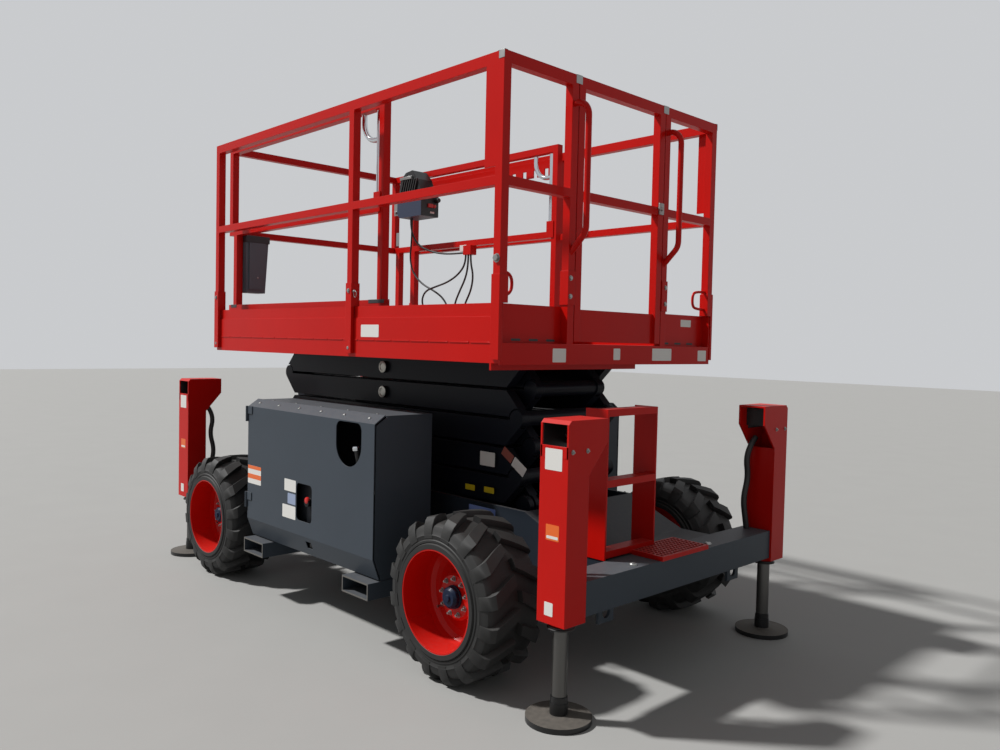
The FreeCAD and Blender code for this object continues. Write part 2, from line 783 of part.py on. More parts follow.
def door(name, side):
    """A folded door: lower chamfer, face and top chamfer, hinged at its front edge."""
    toe, sill = "cabinet_outside - toe_inset", "pocket_top + sill_rise"
    ledge, shoulder = "cabinet_outside - ledge_inset", "cabinet_top - shoulder_drop"
    skin = [(toe, "pocket_top + door_gap"), ("cabinet_outside", sill), ("cabinet_outside", shoulder),
            (ledge, "cabinet_top"), (f"{ledge} - sheet", "cabinet_top - sheet"),
            ("cabinet_outside - sheet", f"{shoulder} - sheet / 2"),
            ("cabinet_outside - sheet", f"{sill} + sheet / 2"),
            (f"{toe} - sheet", "pocket_top + door_gap + sheet / 2")]
    skin = [(f"{side} * ({y})", z) for y, z in skin]
    panel = prism(name + "_skin", "x", ("cabinet_front", "cabinet_rear"), skin)
    y = span(side, "cabinet_outside - 2 * sheet", "cabinet_outside + sheet")
    round_low = "(port_rear - port_front) / 2"
    openings = rounded_hole(name + "_port", ("port_front", "port_rear"), y,
                            (f"port_bottom + {round_low}", "port_top"), "port_round")
    openings.append(rod(name + "_port_low", "y", ("(port_front + port_rear) / 2", f"port_bottom + {round_low}"),
                        y, round_low))
    openings.append(box(name + "_port_sides", ("port_front", "port_rear"), y,
                        (f"port_bottom + {round_low}", "port_top - port_round")))
    openings.append(box(name + "_latch", ("latch_front", "latch_rear"),
                        span(side, "cabinet_outside - toe_inset - sheet", "cabinet_outside"),
                        ("latch_low", "latch_high")))
    if side < 0:
        openings += rounded_hole(name + "_window", ("window_front", "window_rear"), y,
                                 ("window_bottom", "window_top"), "window_round")
    parts = [cut(name + "_open", panel, openings)]
    axis_x, axis_y = hinge_axis(side)
    for height in HINGES:
        low = f"{height} + hinge_length + seat_gap"
        z = (low, f"{low} + hinge_length")
        parts.append(rod(f"{name}_{height}_barrel", "z", (axis_x, axis_y), z, "hinge_radius"))
        parts.append(box(f"{name}_{height}_leaf", (axis_x, "cabinet_front + hinge_leaf"),
                         span(side, "cabinet_outside", "cabinet_outside + hinge_proud"), z))
    return fuse(name, parts)


def control_panel():
    """The ground control station, behind the window of the left door."""
    deep = "cabinet_outside - door_gap - sheet - 25"
    case = box("ground_station", ("window_front - 30", "window_rear + 30"),
               span(-1, f"{deep} - panel_depth", deep), ("window_bottom - 25", "window_top + 25"))
    arm = box("ground_bracket", ("window_front - 10", "window_rear + 10"),
              span(-1, "cabinet_inside + sheet", f"{deep} - panel_depth"),
              ("window_bottom - 25", "window_bottom"))
    button = rod("stop_button", "y", ("(window_front + window_rear) / 2", "(window_bottom + window_top) / 2"),
                 span(-1, deep, f"{deep} + 22"), "20")
    return fuse("control_panel", [case, arm, button])


def machinery():
    """The engine in the right cabinet and the oil tank in the left one, as plain blocks."""
    floor = "pocket_top + sheet"
    engine = box("engine", ("cabinet_front + 120", "cabinet_rear - 260"),
                 span(1, "cabinet_inside + 30", "cabinet_outside - 60"), (floor, f"{floor} + 520"))
    tank = box("tank", ("window_rear + 90", "cabinet_rear - 60"),
               span(-1, "cabinet_inside + 30", "cabinet_outside - 60"), (floor, f"{floor} + 360"))
    return group("machinery", [engine, tank])


def axle(label, end):
    centre = f"{end} * wheelbase / 2"
    half = "axle_beam / 2"
    x = (f"{centre} - {half}", f"{centre} + {half}")
    parts = [
        box(f"axle_beam_{label}", x, ("-axle_reach", "axle_reach"),
            (f"tyre_radius - {half}", f"tyre_radius + {half}")),
        box(f"axle_mount_{label}", x, ("-tray_inside / 2", "tray_inside / 2"),
            (f"tyre_radius + {half}", "tray_floor")),
    ]
    for name, side in SIDES:
        if end > 0:
            parts.append(rod(f"axle_motor_{name}", "y", (centre, "tyre_radius"),
                             span(side, "axle_reach", "wheel_centre - dish_inset - dish_wall - seat_gap"),
                             "motor_radius"))
            continue
        for place_name, low in (("top", "knuckle_height / 2 + 3"),
                                ("bottom", "-knuckle_height / 2 - 3 - ear_thickness")):
            z = (f"tyre_radius + {low}", f"tyre_radius + {low} + ear_thickness")
            parts.append(box(f"ear_{place_name}_{name}", (f"{centre} - ear_half", f"{centre} + ear_half"),
                             span(side, "axle_reach - 20", "kingpin_place"), z))
            parts.append(rod(f"ear_round_{place_name}_{name}", "z", (centre, f"{side} * kingpin_place"),
                             z, "ear_half"))
        parts.append(box(f"ear_web_{name}", (f"{centre} - {half}", f"{centre} + {half}"),
                         span(side, "axle_reach - 20", "axle_reach"),
                         ("tyre_radius - knuckle_height / 2 - 3 - ear_thickness",
                          "tyre_radius + knuckle_height / 2 + 3 + ear_thickness")))
        parts.append(rod(f"kingpin_{name}", "z", (centre, f"{side} * kingpin_place"),
                         ("tyre_radius - knuckle_height / 2 - 3", "tyre_radius + knuckle_height / 2 + 3"),
                         "kingpin_radius"))
    return fuse(f"axle_{label}", parts)


def axles():
    return group("axles", [axle(label, end) for label, end in CORNERS])


def knuckle(name, side):
    centre = "-wheelbase / 2"
    king = (centre, f"{side} * kingpin_place")
    arm_z = ("tyre_radius + arm_rise", "tyre_radius + arm_rise + arm_plate")
    pin = (f"{centre} + arm_swing", king[1])
    parts = [
        rod(name + "_boss", "z", king,
            ("tyre_radius - knuckle_height / 2", "tyre_radius + knuckle_height / 2"), "knuckle_radius"),
        rod(name + "_motor", "y", (centre, "tyre_radius"),
            span(side, "kingpin_place + 10", "wheel_centre - dish_inset - dish_wall - seat_gap"),
            "motor_radius"),
        box(name + "_arm", (centre, pin[0]),
            span(side, "kingpin_place - eye_radius", "kingpin_place + eye_radius"), arm_z),
        rod(name + "_eye", "z", pin, arm_z, "eye_radius"),
    ]
    bore = rod(name + "_bore", "z", king, ("tyre_radius - knuckle_height", "tyre_radius + knuckle_height"),
               "kingpin_radius + pin_play")
    return cut(name, fuse(name + "_solid", parts), [bore])


def steer_cylinder():
    x = "arm_swing - wheelbase / 2"
    z = "tyre_radius + arm_rise - steer_drop - eye_radius / 2"
    tube = rod("steer_tube_solid", "y", (x, z), ("-steer_tube_half", "steer_tube_half"), "steer_tube")
    bracket = box("steer_bracket", ("axle_beam / 2 - wheelbase / 2", x), ("-steer_tube", "steer_tube"),
                  (f"{z} - steer_tube / 2", f"{z} + steer_tube / 2"))
    bore = rod("steer_bore", "y", (x, z), ("-2 * steer_tube_half", "2 * steer_tube_half"),
               "steer_rod_radius + pin_play")
    return cut("steer_cylinder", fuse("steer_tube_whole", [tube, bracket]), [bore])


def steer_rod():
    x = "arm_swing - wheelbase / 2"
    z = "tyre_radius + arm_rise - steer_drop - eye_radius / 2"
    parts = [rod("steer_shaft", "y", (x, z), ("-kingpin_place + eye_radius", "kingpin_place - eye_radius"),
                 "steer_rod_radius")]
    for name, side in SIDES:
        parts.append(rod(f"steer_eye_{name}", "z", (x, f"{side} * kingpin_place"),
                         (f"{z} - eye_radius / 2", f"{z} + eye_radius / 2"), "eye_radius"))
    return fuse("steer_rod", parts)


def level_height(level):
    return f"foot_height + {2 * level - 1} * pin_pitch / 2"


def scissor_arm(name, side, lane, level, slope):
    """One arm of the stack. A slope of 1 has its lower pin at the front, -1 at the rear."""
    middle = level_height(level)
    rise = "pin_pitch / 2"
    half = "arm_depth / 2"
    lean = "ear_radius * 0.7071"
    tip = f"pin_half + {lean}"
    drop = f"{rise} - {lean}"
    corners = [("-pin_half", f"-{half}"), (f"-({tip})", f"-({drop})"),
               (f"-({tip}) + {drop} + {half}", half), ("pin_half", half),
               (tip, drop), (f"{tip} - ({drop}) - {half}", f"-{half}")]
    corners = [(f"stack_x + {slope} * ({x})", f"{middle} + {z}") for x, z in corners]
    y = span(side, lane, f"{lane} + arm_width")
    top = (f"stack_x + {slope} * pin_half", f"{middle} + {rise}")
    bottom = (f"stack_x - {slope} * pin_half", f"{middle} - {rise}")
    bar = fuse(name + "_bar", [prism(name + "_tube", "y", y, corners),
                               rod(name + "_top_ear", "y", top, y, "ear_radius"),
                               rod(name + "_low_ear", "y", bottom, y, "ear_radius")])
    slot = "ear_radius + ear_play"
    tongue = "cheek + cheek_play"
    tools = [
        rod(name + "_slot", "y", top, span(side, f"{lane} + cheek", f"{lane} + arm_width - cheek"), slot),
        rod(name + "_near", "y", bottom, span(side, f"{lane} - 5", f"{lane} + {tongue}"), slot),
        rod(name + "_far", "y", bottom, span(side, f"{lane} + arm_width - ({tongue})",
                                             f"{lane} + arm_width + 5"), slot),
        rod(name + "_bore", "y", bottom, span(side, lane, f"{lane} + arm_width"), "pin_radius + pin_play"),
    ]
    if lane == "inner_lane":
        tools.append(rod(name + "_centre", "y", ("stack_x", middle), span(side, f"{lane} - 5",
                         f"{lane} + arm_width + 5"), "centre_pin + pin_play"))
    return cut(name, bar, tools)


def scissor_frame(kind, level):
    """A pair of arms with the cross tube and pins at their upper ends."""
    lane = LANES[kind]
    slope = 1 if (level % 2 == 1) == (kind == "outer") else -1
    middle = level_height(level)
    name = f"scissor_{kind}_{level}"
    top = (f"stack_x + {slope} * pin_half", f"{middle} + pin_pitch / 2")
    bottom = (f"stack_x - {slope} * pin_half", f"{middle} - pin_pitch / 2")
    parts = [rod(name + "_cross", "y", top, (f"-({lane})", lane), "cross_tube")]
    for label, side in SIDES:
        parts.append(scissor_arm(f"{name}_{label}", side, lane, level, slope))
        parts.append(rod(f"{name}_pin_{label}", "y", top, span(side, lane, f"{lane} + arm_width"),
                         "pin_radius"))
        if kind == "outer":
            centre = ("stack_x", middle)
            outer_face = f"{lane} + arm_width"
            parts.append(rod(f"{name}_centre_{label}", "y", centre,
                             span(side, "inner_lane", outer_face), "centre_pin"))
            parts.append(rod(f"{name}_boss_{label}", "y", centre,
                             span(side, "inner_lane + arm_width + cheek_play", lane), "boss_radius"))
            parts.append(rod(f"{name}_head_{label}", "y", centre,
                             span(side, outer_face, f"{outer_face} + head_height"), "centre_head"))
        if kind == "outer" and level == LEVELS:
            parts.append(rod(f"{name}_roller_{label}", "y", top, span(side, "roller_start", "roller_end"),
                             "roller_radius"))
        if kind == "inner" and level == 1:
            parts.append(rod(f"{name}_stub_{label}", "y", bottom,
                             span(side, "inner_lane + cheek + cheek_play", "roller_end"), "pin_radius + pin_play"))
            parts.append(rod(f"{name}_roller_{label}", "y", bottom, span(side, "roller_start", "roller_end"),
                             "roller_radius"))
    if kind == "inner" and level in (1, 3):
        parts.append(rod(name + "_base_lug", "y", ("stack_x - pin_half + barrel_reach", middle),
                         ("-inner_lane", "inner_lane"), "lug_radius"))
    if kind == "inner" and level in (2, 4):
        for label, side in SIDES:
            parts.append(rod(f"{name}_rod_lug_{label}", "y", ("stack_x - pin_half + rod_reach", middle),
                             span(side, "lug_inside", "inner_lane"), "lug_radius"))
    return fuse(name, parts)


def lift_axis(level):
    """The lift cylinder's base pin and its slope at rest, for the level of its base."""
    base = Vector(number("stack_x - pin_half + barrel_reach"), 0, number(level_height(level)))
    eye = Vector(number("stack_x - pin_half + rod_reach"), 0, number(level_height(level + 1)))
    return base, eye


def along_axis(name, level, pieces, bores):
    """Round pieces along a lift cylinder: each is start, end and radius from its base pin."""
    base, eye = lift_axis(level)
    direction = (eye - base).normalize()
    solid = None
    for start, end, radius in pieces:
        piece = Part.makeCylinder(number(radius), number(end) - number(start),
                                  base + direction * number(start), direction)
        solid = piece if solid is None else solid.fuse(piece)
    for place_along, half, radius in bores:
        centre = base + direction * number(place_along)
        ring = Part.makeCylinder(number(radius), 2 * number(half),
                                 centre - Vector(0, number(half), 0), Vector(0, 1, 0))
        solid = solid.fuse(ring)
    return solid, base, eye, direction


def lift_barrel(name, level):
    solid, base, eye, direction = along_axis(
        name, level, [("0 * barrel_eye", "barrel_length", "barrel_radius")],
        [("0 * barrel_eye", "barrel_eye_half", "barrel_eye")])
    hole = Part.makeCylinder(number("lug_radius + pin_play"), 4 * number("barrel_radius"),
                             base - Vector(0, 2 * number("barrel_radius"), 0), Vector(0, 1, 0))
    bore = Part.makeCylinder(number("rod_radius + pin_play"), number("barrel_length"),
                             base + direction * 2 * number("barrel_eye"), direction)
    feature = doc.addObject("Part::Feature", name)
    feature.Shape = solid.cut(hole).cut(bore).removeSplitter()
    feature.Label = name
    return feature


def lift_rod(name, level):
    base, eye = lift_axis(level)
    length = (eye - base).Length
    start = 2 * number("barrel_eye") + number("rod_radius")
    direction = (eye - base).normalize()
    shaft = Part.makeCylinder(number("rod_radius"), length - start, base + direction * start, direction)
    half = number("rod_eye_half")
    ring = Part.makeCylinder(number("rod_eye"), 2 * half, eye - Vector(0, half, 0), Vector(0, 1, 0))
    hole = Part.makeCylinder(number("lug_radius + pin_play"), 4 * half, eye - Vector(0, 2 * half, 0),
                             Vector(0, 1, 0))
    feature = doc.addObject("Part::Feature", name)
    feature.Shape = shaft.fuse(ring).cut(hole).removeSplitter()
    feature.Label = name
    return feature


def platform_deck():
    inner = "deck_outside - skirt_inset - skirt_wall"
    face = "deck_outside - skirt_inset"
    x = ("-deck_half", "deck_half")
    parts = [box("deck_floor", x, (f"-({face})", face), ("deck_under", "deck_under + deck_plate"))]
    for label, side in SIDES:
        parts.append(box(f"skirt_{label}", x, span(side, inner, face), ("skirt_bottom", "skirt_top")))
        parts.append(box(f"toe_board_{label}", x, span(side, inner, f"{inner} + toe_wall"),
                         ("skirt_top", "toe_top")))
        parts.append(box(f"roller_guide_{label}", ("roller_front", "roller_rear"),
                         span(side, "roller_start - 2", "roller_end + 2"),
                         (f"foot_height + {LEVELS} * pin_pitch + roller_radius + roller_play",
                          "deck_under")))
        reach = span(side, "inner_lane + cheek + cheek_play", "inner_lane + arm_width - cheek - cheek_play")
        pivot = ("stack_x - pin_half", f"foot_height + {LEVELS} * pin_pitch")
        lug = fuse(f"pivot_lug_{label}", [
            rod(f"pivot_round_{label}", "y", pivot, reach, "ear_radius"),
            box(f"pivot_block_{label}", (f"{pivot[0]} - ear_radius", f"{pivot[0]} + ear_radius"), reach,
                (pivot[1], "deck_under"))])
        parts.append(cut(f"pivot_{label}", lug, [rod(f"pivot_bore_{label}", "y", pivot, reach,
                                                     "pin_radius + pin_play")]))
        parts.append(box(f"kick_plate_{label}", ("deck_half - rail_tube - toe_wall", "deck_half - rail_tube"),
                         span(side, "gate_post", f"{inner} + toe_wall"), ("deck_under", "toe_top")))
    parts.append(box("rear_fascia", ("deck_half - skirt_wall", "deck_half"), (f"-({face})", face),
                     ("fascia_bottom", "deck_under + deck_plate")))
    parts.append(box("front_fascia", ("-deck_half", "skirt_wall - deck_half"), (f"-({face})", face),
                     ("skirt_bottom", "deck_under + deck_plate")))
    parts.append(box("rear_sill", ("deck_half - sill_back - skirt_wall", "deck_half - sill_back"),
                     (f"-({face})", "mid_post"), ("fascia_bottom - sill_drop", "deck_under")))
    return fuse("platform_deck", parts)


def post(name, x, y, low, high):
    half = "rail_tube / 2"
    return box(name, (f"{x} - {half}", f"{x} + {half}"), (f"{y} - {half}", f"{y} + {half}"), (low, high))


def side_rail(label, side):
    line = f"{side} * (deck_outside - rail_tube / 2)"
    y = span(side, "deck_outside - rail_tube", "deck_outside")
    x = ("-deck_half", "deck_half")
    places = ["rail_tube / 2 - deck_half", "mid_post", "deck_half - rail_tube / 2"]
    parts = [
        box(f"top_rail_{label}", x, y, ("rail_top - top_tube", "rail_top")),
        box(f"mid_rail_{label}", x, y, ("mid_top - mid_tube", "mid_top")),
        box(f"corner_plate_{label}", ("deck_half - rail_tube - plate_width", "deck_half - rail_tube"),
            span(side, "deck_outside - plate_wall", "deck_outside"), ("plate_bottom", "rail_top - top_tube")),
    ]
    for index, place_x in enumerate(places):
        parts.append(post(f"post_{label}_{index}", place_x, line, "post_foot", "rail_top - top_tube"))
        parts.append(box(f"socket_{label}_{index}", (f"{place_x} - socket_half", f"{place_x} + socket_half"),
                         span(side, "deck_outside - rail_tube - socket_wall", "deck_outside + socket_wall"),
                         ("post_foot", "socket_top")))
    tube = fuse(f"rail_{label}", parts)
    inside = "deck_outside - skirt_inset + seat_gap"
    skirt = box(f"rail_relief_{label}", ("-deck_half - socket_half", "deck_half + socket_half"),
                span(side, f"{inside} - rail_tube", inside), ("skirt_bottom - socket_half", "toe_top + seat_gap"))
    return cut(f"side_rail_{label}", tube, [skirt])


def side_rails():
    return group("side_rails", [side_rail(label, side) for label, side in SIDES])


GATE_HINGES = ["gate_hinge_low", "gate_hinge_high"]


def gate_knuckle(name, low, start, end):
    """Half of a gate hinge: a barrel inside the gate line and the leaf that carries it."""
    axis_x = "deck_half - rail_tube - gate_hinge_inset"
    z = (low, f"{low} + gate_hinge_length")
    return [rod(name + "_barrel", "z", (axis_x, "gate_hinge"), z, "gate_hinge_radius"),
            box(name + "_leaf", (axis_x, "deck_half - rail_tube"), (start, end), z)]


def rear_rail(label, side):
    y = span(side, "gate_post", "deck_outside - rail_tube - seat_gap")
    x = ("deck_half - rail_tube", "deck_half")
    line = f"{side} * (gate_post + rail_tube / 2)"
    bar = "deck_half - rail_tube / 2"
    parts = [
        box(f"rear_top_{label}", x, y, ("rail_top - top_tube", "rail_top")),
        box(f"rear_mid_{label}", x, y, ("mid_top - mid_tube", "mid_top")),
        post(f"rear_post_{label}", bar, line, "deck_under + deck_plate", "rail_top - top_tube"),
        box(f"rear_socket_{label}", ("deck_half - rail_tube - socket_wall", "deck_half + socket_wall"),
            span(side, "gate_post", "gate_post + rail_tube + socket_wall"), ("socket_low", "socket_high")),
        tube(f"grab_bar_{label}", [
            (bar, line, "grab_top"), ("deck_half + grab_reach - grab_radius", line, "grab_top"),
            ("deck_half + grab_reach - grab_radius", line, "grab_bottom + grab_fall"),
            (bar, line, "grab_bottom")], "grab_radius", "grab_bend"),
    ]
    if side > 0:
        for height in GATE_HINGES:
            parts += gate_knuckle(f"{height}_post", height, "gate_hinge", "gate_hinge + gate_leaf")
    return fuse(f"rear_rail_{label}", parts)


def rear_rails():
    return group("rear_rails", [rear_rail(label, side) for label, side in SIDES])


def latch_rack():
    """A slotted bar under the right top rail that holds the extension at its stops."""
    y = ("deck_outside - rail_tube - rack_wall", "deck_outside - rail_tube")
    bar = box("rack_bar", ("rack_front", "rack_rear"), y, ("rack_bottom", "rack_top"))
    count = int((number("rack_rear") - number("rack_front")) // number("notch_pitch"))
    notches = []
    for index in range(count):
        start = f"rack_front + ({index} + 0.5) * notch_pitch"
        notches.append(box(f"notch_{index}", (start, f"{start} + notch_width"),
                           (f"{y[0]} - 1", f"{y[1]} + 1"),
                           ("rack_bottom - 1", "rack_bottom + notch_height")))
    return cut("latch_rack", bar, notches)


def gate():
    x = ("deck_half - rail_tube", "deck_half")
    parts = [
        box("gate_top", x, ("-gate_half", "gate_half"), ("rail_top - top_tube", "rail_top")),
        box("gate_mid", x, ("-gate_half", "gate_half"), ("mid_top - mid_tube", "mid_top")),
        box("gate_kick", ("deck_half - rail_tube / 2", "deck_half - rail_tube / 2 + toe_wall"),
            ("-gate_half", "gate_half"), ("kick_bottom", "kick_top")),
    ]
    for label, side in SIDES:
        parts.append(box(f"gate_stile_{label}", x, span(side, "gate_half - rail_tube", "gate_half"),
                         ("kick_bottom", "rail_top - top_tube")))
    for height in GATE_HINGES:
        parts += gate_knuckle(f"{height}_gate", f"{height} + gate_hinge_length + seat_gap",
                              "gate_hinge - gate_leaf", "gate_hinge")
    return fuse("gate", parts)


def extension_deck():
    x = ("ext_front", "ext_toe_rear")
    floor = ("ext_floor", "ext_floor + ext_plate")
    parts = [box("ext_floor_plate", x, ("-ext_outside", "ext_outside"), floor)]
    for label, side in SIDES:
        parts.append(box(f"ext_toe_{label}", x, span(side, "ext_outside - toe_wall", "ext_outside"),
                         ("ext_floor", "ext_toe_top")))
        parts.append(box(f"runner_{label}", x, span(side, "ext_outside - runner_width", "ext_outside"),
                         ("deck_under + deck_plate + seat_gap", "ext_floor")))
    parts.append(box("ext_toe_front", ("ext_front", "ext_front + toe_wall"),
                     ("-ext_outside", "ext_outside"), ("ext_floor", "ext_toe_top")))
    return fuse("extension_deck", parts)


def extension_rails():
    bar = "rail_tube"
    top = ("ext_rail_top - rail_tube", "ext_rail_top")
    mid = ("mid_top - mid_tube", "mid_top")
    front = ("ext_front", f"ext_front + {bar}")
    parts = [
        box("ext_front_top", front, ("-ext_outside", "ext_outside"), top),
        box("ext_front_mid", front, ("-ext_outside", "ext_outside"), mid),
    ]
    for label, side in SIDES:
        y = span(side, f"ext_outside - {bar}", "ext_outside")
        line = f"{side} * (ext_outside - {bar} / 2)"
        foot = "ext_toe_top"
        parts += [
            box(f"ext_top_{label}", ("ext_front", "ext_rear"), y, top),
            box(f"ext_mid_{label}", ("ext_front", "ext_rear"), y, mid),
            post(f"ext_corner_{label}", f"ext_front + {bar} / 2", line, mid[0], top[1]),
            post(f"ext_leg_{label}", "ext_post", line, foot, mid[1]),
            post(f"ext_rear_post_{label}", f"ext_rear - {bar} / 2", line, foot, top[1]),
        ]
        for name, low, high in (("seat", "mid_top", "handle_bottom"), ("cap", "handle_top", top[0])):
            parts.append(box(f"handle_{name}_{label}", ("handle_place - handle_radius", f"ext_rear - {bar}"),
                             span(side, f"ext_outside - {bar} / 2 - handle_radius",
                                  f"ext_outside - {bar} / 2 + handle_radius"), (low, high)))
        cheek = ("handle_place - handle_radius", f"ext_rear - {bar} / 2")
        for name, line in (("near", f"ext_outside - {bar} - socket_wall"), ("far", "ext_outside")):
            parts.append(box(f"handle_cheek_{label}_{name}", cheek, span(side, line, f"{line} + socket_wall"),
                             (mid[0], "handle_bottom + clasp_height")))
    parts.append(post("ext_box_post", "box_post", f"ext_outside - {bar} / 2", "ext_toe_top", mid[1]))
    parts.append(box("cable_clip", ("clip_front", "clip_rear"),
                     (f"ext_outside - {bar} - 5 * cable_radius", f"ext_outside - {bar} / 2"),
                     ("clip_bottom", mid[0])))
    return fuse("extension_rails", parts)


def push_handles():
    """Upright grips with a bent arm at their head, one on each rear post of the extension."""
    handles = []
    for label, side in SIDES:
        y = f"{side} * (ext_outside - rail_tube / 2)"
        parts = [
            rod(f"grip_{label}", "z", ("handle_place", y), ("handle_bottom", "handle_top"), "handle_radius"),
            tube(f"hook_{label}", [
                ("handle_place", y, "handle_top - hook_drop"),
                ("handle_place - handle_elbow", y, "handle_top - hook_drop"),
                ("handle_place - handle_elbow", y, "handle_top")], "hook_radius", "handle_bend"),
        ]
        handles.append(fuse(f"handle_{label}", parts))
    return group("push_handles", handles)


def control_box():
    """The platform's control station: a case under a sloped guard, with a knob at its rear."""
    y = ("control_inside", "ext_outside - rail_tube - seat_gap")
    length, height = "(control_rear - control_front)", "(control_top - control_step)"
    case = prism("control_case", "y", y, [
        ("control_front + control_round", "control_bottom"), ("control_rear", "control_bottom"),
        ("control_rear", "control_step"), ("control_front", "control_step"),
        ("control_front", "control_bottom + control_round")])
    guard = prism("control_guard", "y", (f"{y[0]} + guard_inset", f"{y[1]} - guard_inset"), [
        ("control_front", "control_step"), ("control_rear - guard_inset", "control_step"),
        (f"control_rear - 0.22 * {length}", f"control_step + 0.62 * {height}"),
        (f"control_rear - 0.45 * {length}", "control_top"),
        (f"control_front + 0.28 * {length}", f"control_top - 0.06 * {height}"),
        (f"control_front + 0.06 * {length}", f"control_step + 0.66 * {height}")])
    knob = rod("control_knob", "x", (f"{y[0]} + 2 * knob_radius", "control_step - knob_radius"),
               ("control_rear", "control_rear + knob_reach"), "knob_radius")
    return fuse("control_box", [case, guard, knob])


def manual_box():
    """The document holder on the front rail: a tapered case with a raised cover."""
    front = "ext_front + rail_tube"
    case = prism("manual_case", "x", (front, f"{front} + manual_depth"), [
        ("manual_left", "manual_top"), ("manual_right", "manual_top"),
        ("manual_right - manual_taper", "manual_bottom"), ("manual_left + manual_taper / 3", "manual_bottom")])
    cover = prism("manual_cover", "x", (f"{front} + manual_depth", f"{front} + manual_depth + cover_rise"), [
        ("manual_left + cover_inset", "manual_top"), ("manual_right - cover_inset", "manual_top"),
        ("manual_right - manual_taper - cover_inset", "manual_bottom + cover_inset"),
        ("manual_left + cover_inset", "manual_bottom + cover_inset")])
    return fuse("manual_box", [case, cover])


LEADS = {
    # name: the route's points, from the control box or the clip to where the lead ends
    "sag": [(-968, 512, "control_bottom"), (-968, 512, 2075), (-935, 532, 1985), (-850, 550, 1935),
            (-730, 556, 1906), (-600, 556, 1894), ("clip_front", 556, 1894)],
    "drop": [(-940, 500, "control_bottom"), (-940, 500, 2075), (-975, 525, 1985), (-1015, 545, 1890),
             (-990, 552, 1790), (-890, 555, 1712), (-770, 555, 1668), (-660, 552, 1612), (-600, 548, 1525),
             (-590, 548, 1440), (-590, 548, "ext_floor + ext_plate")],
    "loop_front": [(-462, 556, "clip_bottom"), (-462, 556, 1825), (-520, 548, 1760), (-610, 538, 1715),
                   (-720, 532, 1690), (-830, 530, 1665), (-868, 532, 1595), (-820, 536, 1520),
                   (-785, 538, 1440), (-785, 538, "ext_floor + ext_plate")],
    "loop_middle": [(-438, 556, "clip_bottom"), (-438, 556, 1815), (-455, 552, 1735), (-505, 548, 1655),
                    (-550, 546, 1575), (-560, 546, 1468), (-560, 546, "ext_floor + ext_plate")],
    "loop_rear": [(-415, 556, "clip_bottom"), (-415, 556, 1830), (-388, 556, 1750), (-405, 556, 1660),
                  (-462, 556, 1575), (-512, 556, 1465), (-512, 556, "ext_floor + ext_plate")],
}


def control_cable():
    """The leads of the control box: one runs to the clip on the middle rail, the others hang to the deck."""
    leads = [tube(f"lead_{name}", points, "cable_radius") for name, points in LEADS.items()]
    return group("control_cable", leads)


nodes = [chassis_frame(), outrigger_beams(), outrigger_housings(), ladder(), fork_pockets(),
         cabinets(), control_panel(), machinery(), axles(), steer_cylinder(), steer_rod()]
for side_name, side_sign in SIDES:
    nodes.append(knuckle(f"knuckle_{side_name}", side_sign))
    nodes.append(door(f"door_{side_name}", side_sign))
for end_name, end_sign in CORNERS:
    for side_name, side_sign in SIDES:
        nodes.append(rim(f"rim_{end_name}_{side_name}", end_sign, side_sign))
        nodes.append(tyre(f"tyre_{end_name}_{side_name}", end_sign, side_sign))
        nodes.append(outrigger_leg(f"leg_{end_name}_{side_name}", end_sign, side_sign))
for floor_level in range(1, LEVELS + 1):
    nodes.append(scissor_frame("outer", floor_level))
    nodes.append(scissor_frame("inner", floor_level))
for cylinder_name, base_level in (("lower", 1), ("upper", 3)):
    nodes.append(lift_barrel(f"lift_barrel_{cylinder_name}", base_level))
    nodes.append(lift_rod(f"lift_rod_{cylinder_name}", base_level))
nodes += [platform_deck(), side_rails(), rear_rails(), latch_rack(), gate(), extension_deck(),
          extension_rails(), push_handles(), control_box(), manual_box(), control_cable()]

doc.recompute()
faults = [item.Label for item in doc.Objects if {"Invalid", "Error"} & set(item.State)]
faults += [item.Label for item in nodes if item.Shape.isNull() or not item.Shape.isValid()]
if faults:
    raise SystemExit("Failed objects: " + ", ".join(faults))

os.makedirs("parts", exist_ok=True)
for item in nodes:
    item.Shape.exportStep(f"parts/{item.Label}.step")
print(len(nodes), "sub-parts written")
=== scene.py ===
import math

import bmesh
import bpy
from mathutils import Matrix, Vector


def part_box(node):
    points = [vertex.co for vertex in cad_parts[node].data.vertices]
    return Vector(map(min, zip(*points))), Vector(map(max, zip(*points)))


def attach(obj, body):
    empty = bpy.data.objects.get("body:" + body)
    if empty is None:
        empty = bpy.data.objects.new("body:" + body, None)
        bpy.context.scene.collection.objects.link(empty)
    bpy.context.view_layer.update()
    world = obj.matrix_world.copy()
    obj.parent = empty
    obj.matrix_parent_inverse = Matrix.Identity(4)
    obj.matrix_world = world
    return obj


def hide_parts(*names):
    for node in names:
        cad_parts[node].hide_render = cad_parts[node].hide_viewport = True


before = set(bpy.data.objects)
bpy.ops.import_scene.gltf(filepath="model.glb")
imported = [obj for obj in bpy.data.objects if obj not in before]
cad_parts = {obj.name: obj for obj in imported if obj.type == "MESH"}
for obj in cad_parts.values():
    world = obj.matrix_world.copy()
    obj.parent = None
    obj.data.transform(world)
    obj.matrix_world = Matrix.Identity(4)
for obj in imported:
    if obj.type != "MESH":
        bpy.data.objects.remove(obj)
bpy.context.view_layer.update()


def paint(code):
    """An sRGB hex colour as the linear RGBA that Blender's sockets take."""
    channels = [int(code[i:i + 2], 16) / 255 for i in (1, 3, 5)]
    linear = [c / 12.92 if c <= 0.04045 else ((c + 0.055) / 1.055) ** 2.4 for c in channels]
    return (*linear, 1.0)


